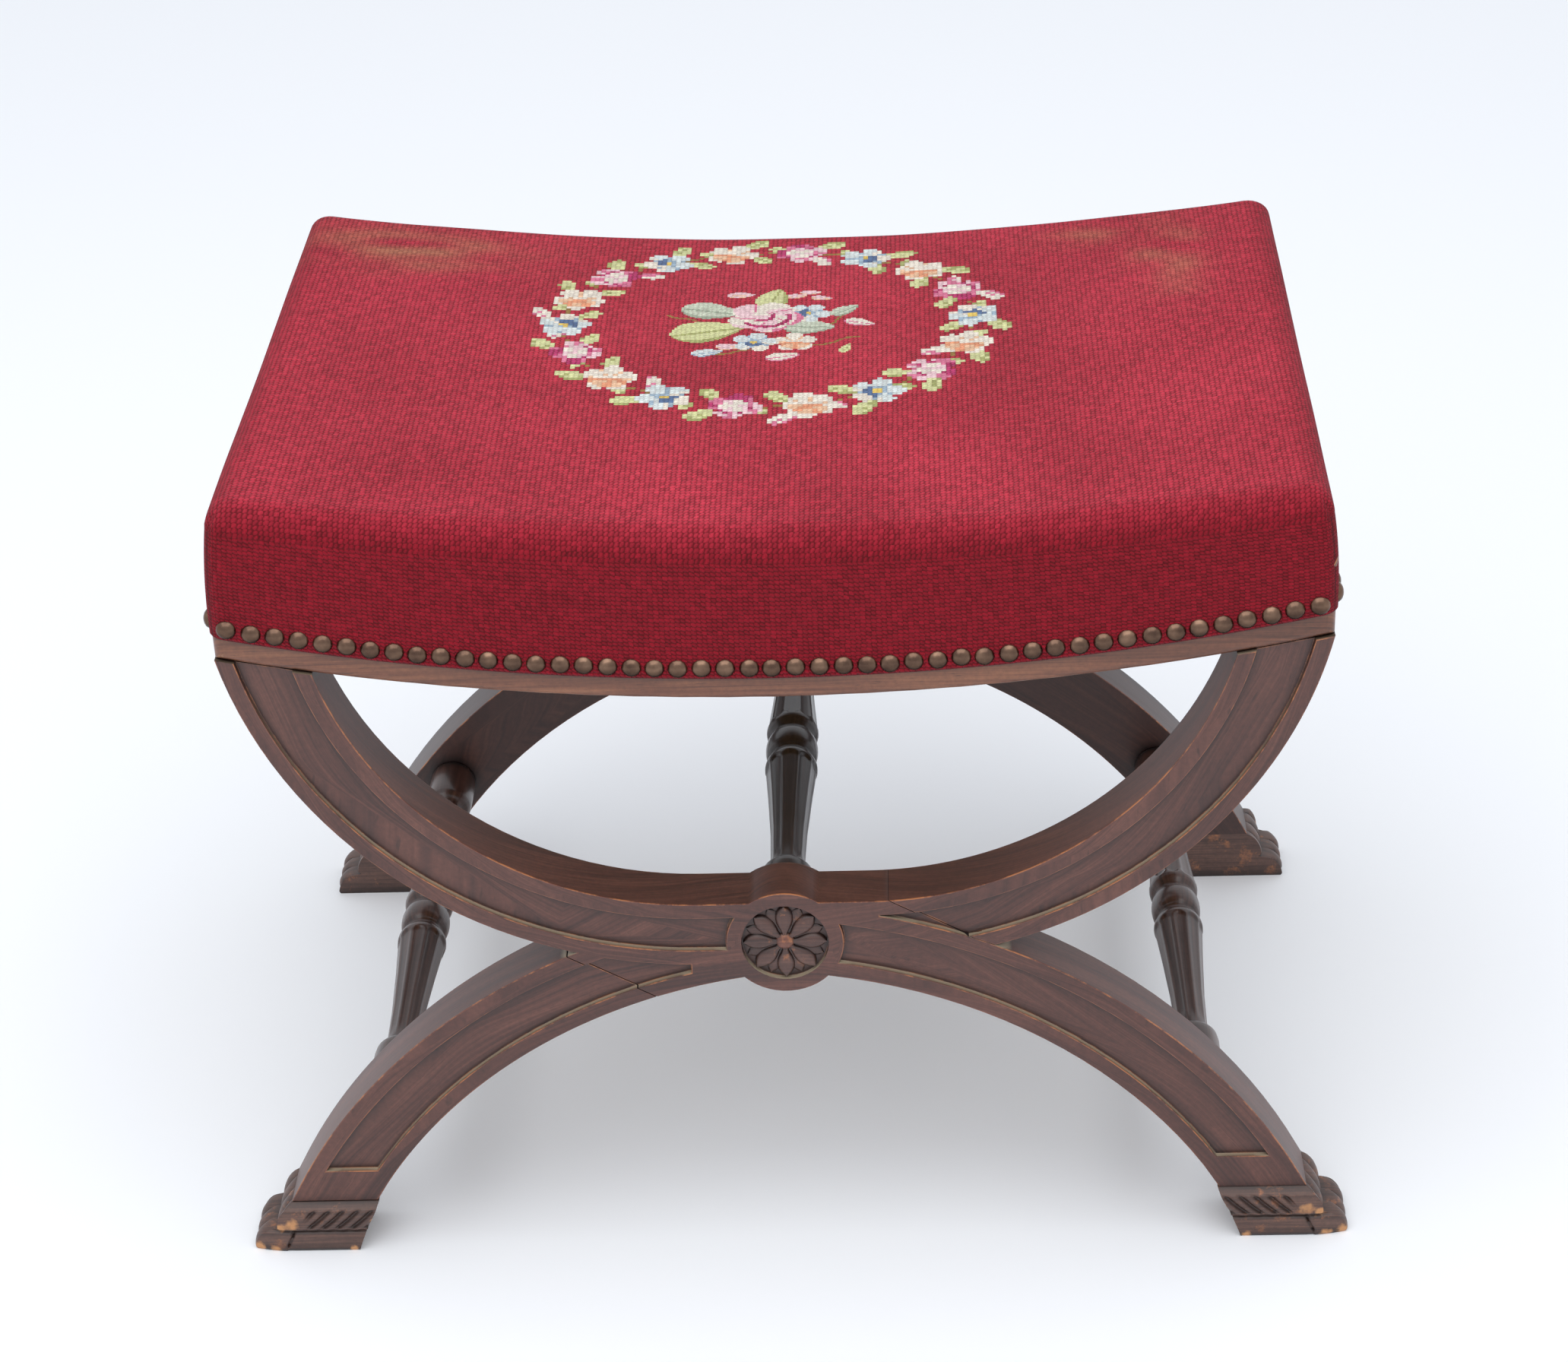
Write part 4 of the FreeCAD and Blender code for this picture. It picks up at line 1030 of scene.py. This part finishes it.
def great_rose(x, y):
    """The full rose of the bouquet: pale outer petals, deep pink folds, pale heart."""
    dx, dy = (x - ROSE_X) / ROSE_SIZE, (y - ROSE_Y) / (ROSE_SIZE * 0.95)
    rho, theta = hypot(dx, dy), atan2(dy, dx)
    if outside(rho, theta, 5, 0.5, 0.2):
        return None
    heart = hypot(dx + 0.1, dy - 0.08)
    if heart < 0.24:
        return CREAM if dy > 0.1 else BLUSH
    if heart < 0.38 and cos(theta + 0.8) > -0.1:
        return BERRY
    if 0.56 < rho < 0.7 and cos(theta + 1.1) > 0.15:
        return BERRY
    if rho > 0.82 and cos(theta + 0.4) > 0.6 or abs(sin(2.5 * theta + 2 * rho)) < 0.13:
        return ROSE
    return CREAM if sin(3 * theta + 5 * rho) > 0.1 else BLUSH


def stitch_colour(x, y):
    """The colour of the embroidery at a place, or None on the ground."""
    away = hypot(x - WREATH_X, y - WREATH_Y)
    if away > 140:
        return None
    found = great_rose(x, y)
    if found:
        return found
    for motif in motifs[WREATH_COUNT:] if away < BOUQUET_REACH else motifs[:WREATH_COUNT]:
        found = motif_colour(motif, x, y)
        if found:
            return found
    return None


# The red ground is paler on top, in clouds, partly from fading and partly as painted light
# for the light that falls on the top and not the sides, and is soiled by hands and feet near
# the rear corners. Each stitch took the dye a little differently.
ground = linear("#8E1022")
faded_and_lit = linear("#CE394D")
soiled = linear("#B07A5A")
uneven = [random.uniform(-UNEVEN_DYE, UNEVEN_DYE) for _ in mesh.polygons]

# Extruding can number the side stitches anew on each run, so these take theirs by place.
sides = [face.index for face in mesh.polygons if middle_of(face)[2] > 0]
placed = sorted(sides, key=lambda v: [round(c, 2) for c in middle_of(mesh.polygons[v])])
for index, given in zip(placed, [uneven[index] for index in sides]):
    uneven[index] = given

wool = mesh.color_attributes.new("wool", "FLOAT_COLOR", "CORNER")
for face in mesh.polygons:
    middle = middle_of(face)
    x = middle[0] / STITCHES_X * 2 * (flat_x + arc) / MM
    y = middle[1] / STITCHES_Y * 2 * (flat_y + arc) / MM
    shade = None if middle[2] > 0 else stitch_colour(x, y)
    if shade:
        colour = linear(shade)[:3]
        if hypot(x - WREATH_X, y - WREATH_Y) < BOUQUET_REACH:
            for loop in face.loop_indices:
                uv.data[loop].uv = uv.data[loop].uv * 2
    else:
        drift = 0.7 + 0.32 * noise.noise(Vector((x, y, 3)) * 0.012)
        edge = min(STITCHES_X / 2 - abs(middle[0]), STITCHES_Y / 2 - abs(middle[1]))
        # The top is paler than the sides: partly fading, partly painted light.
        top = 0.0 if middle[2] > 0 else min(1, max(0, (edge - 1) / 9))
        colour = [g + (f - g) * drift * top for g, f in zip(ground, faded_and_lit)][:3]
        stain = max(exp(-((x + 212) / 52) ** 2 - ((y - 140) / 26) ** 2),
                    exp(-((x - 216) / 17) ** 2 - ((y - 112) / 42) ** 2),
                    0.6 * exp(-((x - 170) / 26) ** 2 - ((y - 150) / 12) ** 2))
        stain *= 0.85 * (0.5 + 1.1 * noise.noise(Vector((x / 2, y, 9)) * 0.06))
        if middle[2] == 0:
            colour = [c + (d - c) * max(0, stain) for c, d in zip(colour, soiled)]
    dye_and_corner_shade = 1 + uneven[face.index]
    # Painted shade: the side stitches at the rounded corners are darkened to 0.6.
    in_corner = max(STITCHES_X / 2 - abs(middle[0]), STITCHES_Y / 2 - abs(middle[1])) < 1.6
    if middle[2] > 0 and in_corner:
        dye_and_corner_shade *= 0.6
    colour = [min(1, c * dye_and_corner_shade) for c in colour] + [1.0]
    for loop in face.loop_indices:
        wool.data[loop].color = colour

# Slanting stitches of spun wool, one to a canvas mesh and each pulled a little out of
# place, with painted shade in the gaps between them, strongest where the dye is deep, and a
# fine fuzz all over.
needlepoint, tree, shader = finish_named("wool needlepoint")
dye = add(tree, "Attribute", attribute_name="wool").outputs["Color"]
where = add(tree, "UVMap", uv_map="canvas").outputs["UV"]
wander = add(tree, "TexNoise", {"Vector": where, "Scale": 0.6, "Detail": 2.0}).outputs["Color"]
wander = add(tree, "VectorMath", {0: wander, 1: (0.5, 0.5, 0.5)},
             operation="SUBTRACT").outputs[0]
wander = add(tree, "VectorMath", {0: wander, 1: (0.55, 0.55, 0)},
             operation="MULTIPLY").outputs[0]
pulled = add(tree, "VectorMath", {0: where, 1: wander}, operation="ADD").outputs[0]
number = add(tree, "VectorMath", {0: pulled}, operation="FLOOR").outputs[0]
own = add(tree, "TexWhiteNoise", {"Vector": number}, noise_dimensions="2D").outputs["Value"]
cell = add(tree, "VectorMath", {0: pulled}, operation="FRACTION").outputs[0]
centred = add(tree, "Mapping", {"Vector": cell, "Location": (0.5, 0.5, 0),
                                "Rotation": (0, 0, radians(58)), "Scale": (0.74, 0.42, 1)},
              vector_type="TEXTURE").outputs[0]
flat = add(tree, "VectorMath", {0: centred, 1: (1, 1, 0)}, operation="MULTIPLY").outputs[0]
far = add(tree, "VectorMath", {0: flat}, operation="LENGTH").outputs["Value"]
far = add(tree, "Math", {0: own, 1: 0.5, 2: far}, operation="MULTIPLY_ADD").outputs[0]
stitch = add(tree, "MapRange", {"Value": far, "From Min": 1.45, "From Max": 0.35},
             interpolation_type="SMOOTHSTEP").outputs[0]
fuzz = add(tree, "TexNoise", {"Vector": where, "Scale": 3.4, "Detail": 5.0,
                              "Roughness": 0.7}).outputs["Fac"]
height = add(tree, "Math", {0: own, 1: 0.35, 2: stitch}, operation="MULTIPLY_ADD").outputs[0]
height = add(tree, "Math", {0: fuzz, 1: 0.5, 2: height}, operation="MULTIPLY_ADD").outputs[0]
shadow = add(tree, "ValToRGB", {"Fac": stitch}, [
    (0.0, (0.4, 0.28, 0.3, 1)), (0.4, (1, 1, 1, 1))]).outputs["Color"]
green = add(tree, "SeparateColor", {"Color": dye}).outputs["Green"]
deep = add(tree, "MapRange", {"Value": green, "From Min": 0.05, "From Max": 0.2,
                              "To Min": 1.0, "To Max": 0.4}).outputs[0]
# The painted shade between the stitches darkens the dye fully on the deep red and less on the
# pale motifs.
wool_with_painted_shade = add(tree, "Mix", {"Factor": deep, 6: dye, 7: shadow}, data_type="RGBA",
                blend_type="MULTIPLY").outputs[2]
fibre = add(tree, "MapRange", {"Value": fuzz, "From Min": 0.3, "From Max": 0.7,
                               "To Min": 0.75, "To Max": 1.25}).outputs[0]
wool_with_painted_shade = add(tree, "VectorMath", {0: wool_with_painted_shade, "Scale": fibre}, operation="SCALE").outputs[0]
relief = add(tree, "Bump", {"Height": height, "Distance": 1.4 * MM, "Strength": 0.8}
             ).outputs[0]
wire(tree, shader, {"Base Color": wool_with_painted_shade, "Normal": relief, "Roughness": 0.8,
                    "Specular IOR Level": 0.2, "Sheen Weight": 0.06,
                    "Sheen Roughness": 0.4, "Sheen Tint": "#F3B9C0"})
mesh.materials.append(needlepoint)
only(cover)
bpy.ops.object.shade_smooth()
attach(cover, "root")
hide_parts("needlepoint_cover")

# Dome nails
# Close-set pressed nails of antiqued brass along the cover's lower edge, each hammered
# in by hand and so a little out of line.
NAIL_RADIUS = 5.3 * MM
NAIL_RISE = 3.6 * MM
NAIL_PITCH = 11.8 * MM
NAIL_SINK = 0.8 * MM
NAIL_STRAY = 0.35 * MM
NAIL_LEAN = 0.06
NAIL_SWEEP = RAIL_SWEEP - 20 * MM

brass, tree, shader = finish_named("antiqued brass")
coords = add(tree, "TexCoord").outputs
tarnish = add(tree, "TexNoise", {"Vector": coords["Object"], "Scale": 130.0, "Detail": 4.0}
              ).outputs["Fac"]
patina_and_reflection = add(tree, "ValToRGB", {"Fac": tarnish}, [
    (0.32, "#58443A"), (0.55, "#725A4B"), (0.78, "#8F7360")]).outputs["Color"]
# Painted reflection: the heads get painted shade on their lower half and a painted highlight on
# top, for the darker surroundings they would reflect below.
upward = add(tree, "SeparateXYZ", {"Vector": coords["Normal"]}).outputs["Z"]
painted_reflection = add(tree, "MapRange", {"Value": upward, "From Min": -0.75, "From Max": 0.6,
                                "To Min": 0.22, "To Max": 1.25}).outputs[0]
patina_and_reflection = add(tree, "VectorMath", {0: patina_and_reflection, "Scale": painted_reflection}, operation="SCALE").outputs[0]
rough = add(tree, "MapRange", {"Value": tarnish, "To Min": 0.2, "To Max": 0.38}).outputs[0]
relief = add(tree, "Bump", {"Height": tarnish, "Distance": 0.3 * MM, "Strength": 0.4}
             ).outputs[0]
wire(tree, shader, {"Base Color": patina_and_reflection, "Roughness": rough, "Metallic": 1.0,
                    "Normal": relief})

bpy.ops.mesh.primitive_uv_sphere_add(segments=16, ring_count=10, radius=NAIL_RADIUS)
dome = named("nail_head")
edit_all()
bpy.ops.mesh.bisect(plane_co=(0, 0, 0), plane_no=(0, 0, 1), clear_inner=True, use_fill=True)
bpy.ops.object.mode_set(mode="OBJECT")
dome.data.transform(Matrix.Diagonal((1, 1, NAIL_RISE / NAIL_RADIUS, 1)))
for label, facing, count in (("front", (0, -1), 47), ("rear", (0, 1), 47),
                             ("left", (-1, 0), 32), ("right", (1, 0), 32)):
    heads = []
    out = Vector((*facing, 0))
    for number in range(count):
        along = (number - (count - 1) / 2) * NAIL_PITCH
        along += random.uniform(-NAIL_STRAY, NAIL_STRAY)
        if facing[1]:
            x, y = along, facing[1] * (COVER_Y - NAIL_SINK)
            z = swept(x, NAIL_SWEEP)
        else:
            x, y = facing[0] * (COVER_X - NAIL_SINK), along
            z = swept(HALF_LENGTH, NAIL_SWEEP)
        head = copy_of(dome.data, f"{label}_nail_{number}")
        lean = Vector([random.uniform(-NAIL_LEAN, NAIL_LEAN) for _ in "xy"] + [0])
        turn = (out + lean).to_track_quat("Z", "Y").to_matrix().to_4x4()
        z += random.uniform(-NAIL_STRAY, NAIL_STRAY)
        head.data.transform(Matrix.Translation((x, y, z)) @ turn)
        heads.append(head)
    row = joined(heads, f"nail_row_{label}")
    row.data.materials.clear()
    row.data.materials.append(brass)
    bpy.ops.object.shade_smooth_by_angle(angle=radians(60))
    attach(row, "root")
    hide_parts(f"nails_{label}")
bpy.data.objects.remove(dome)
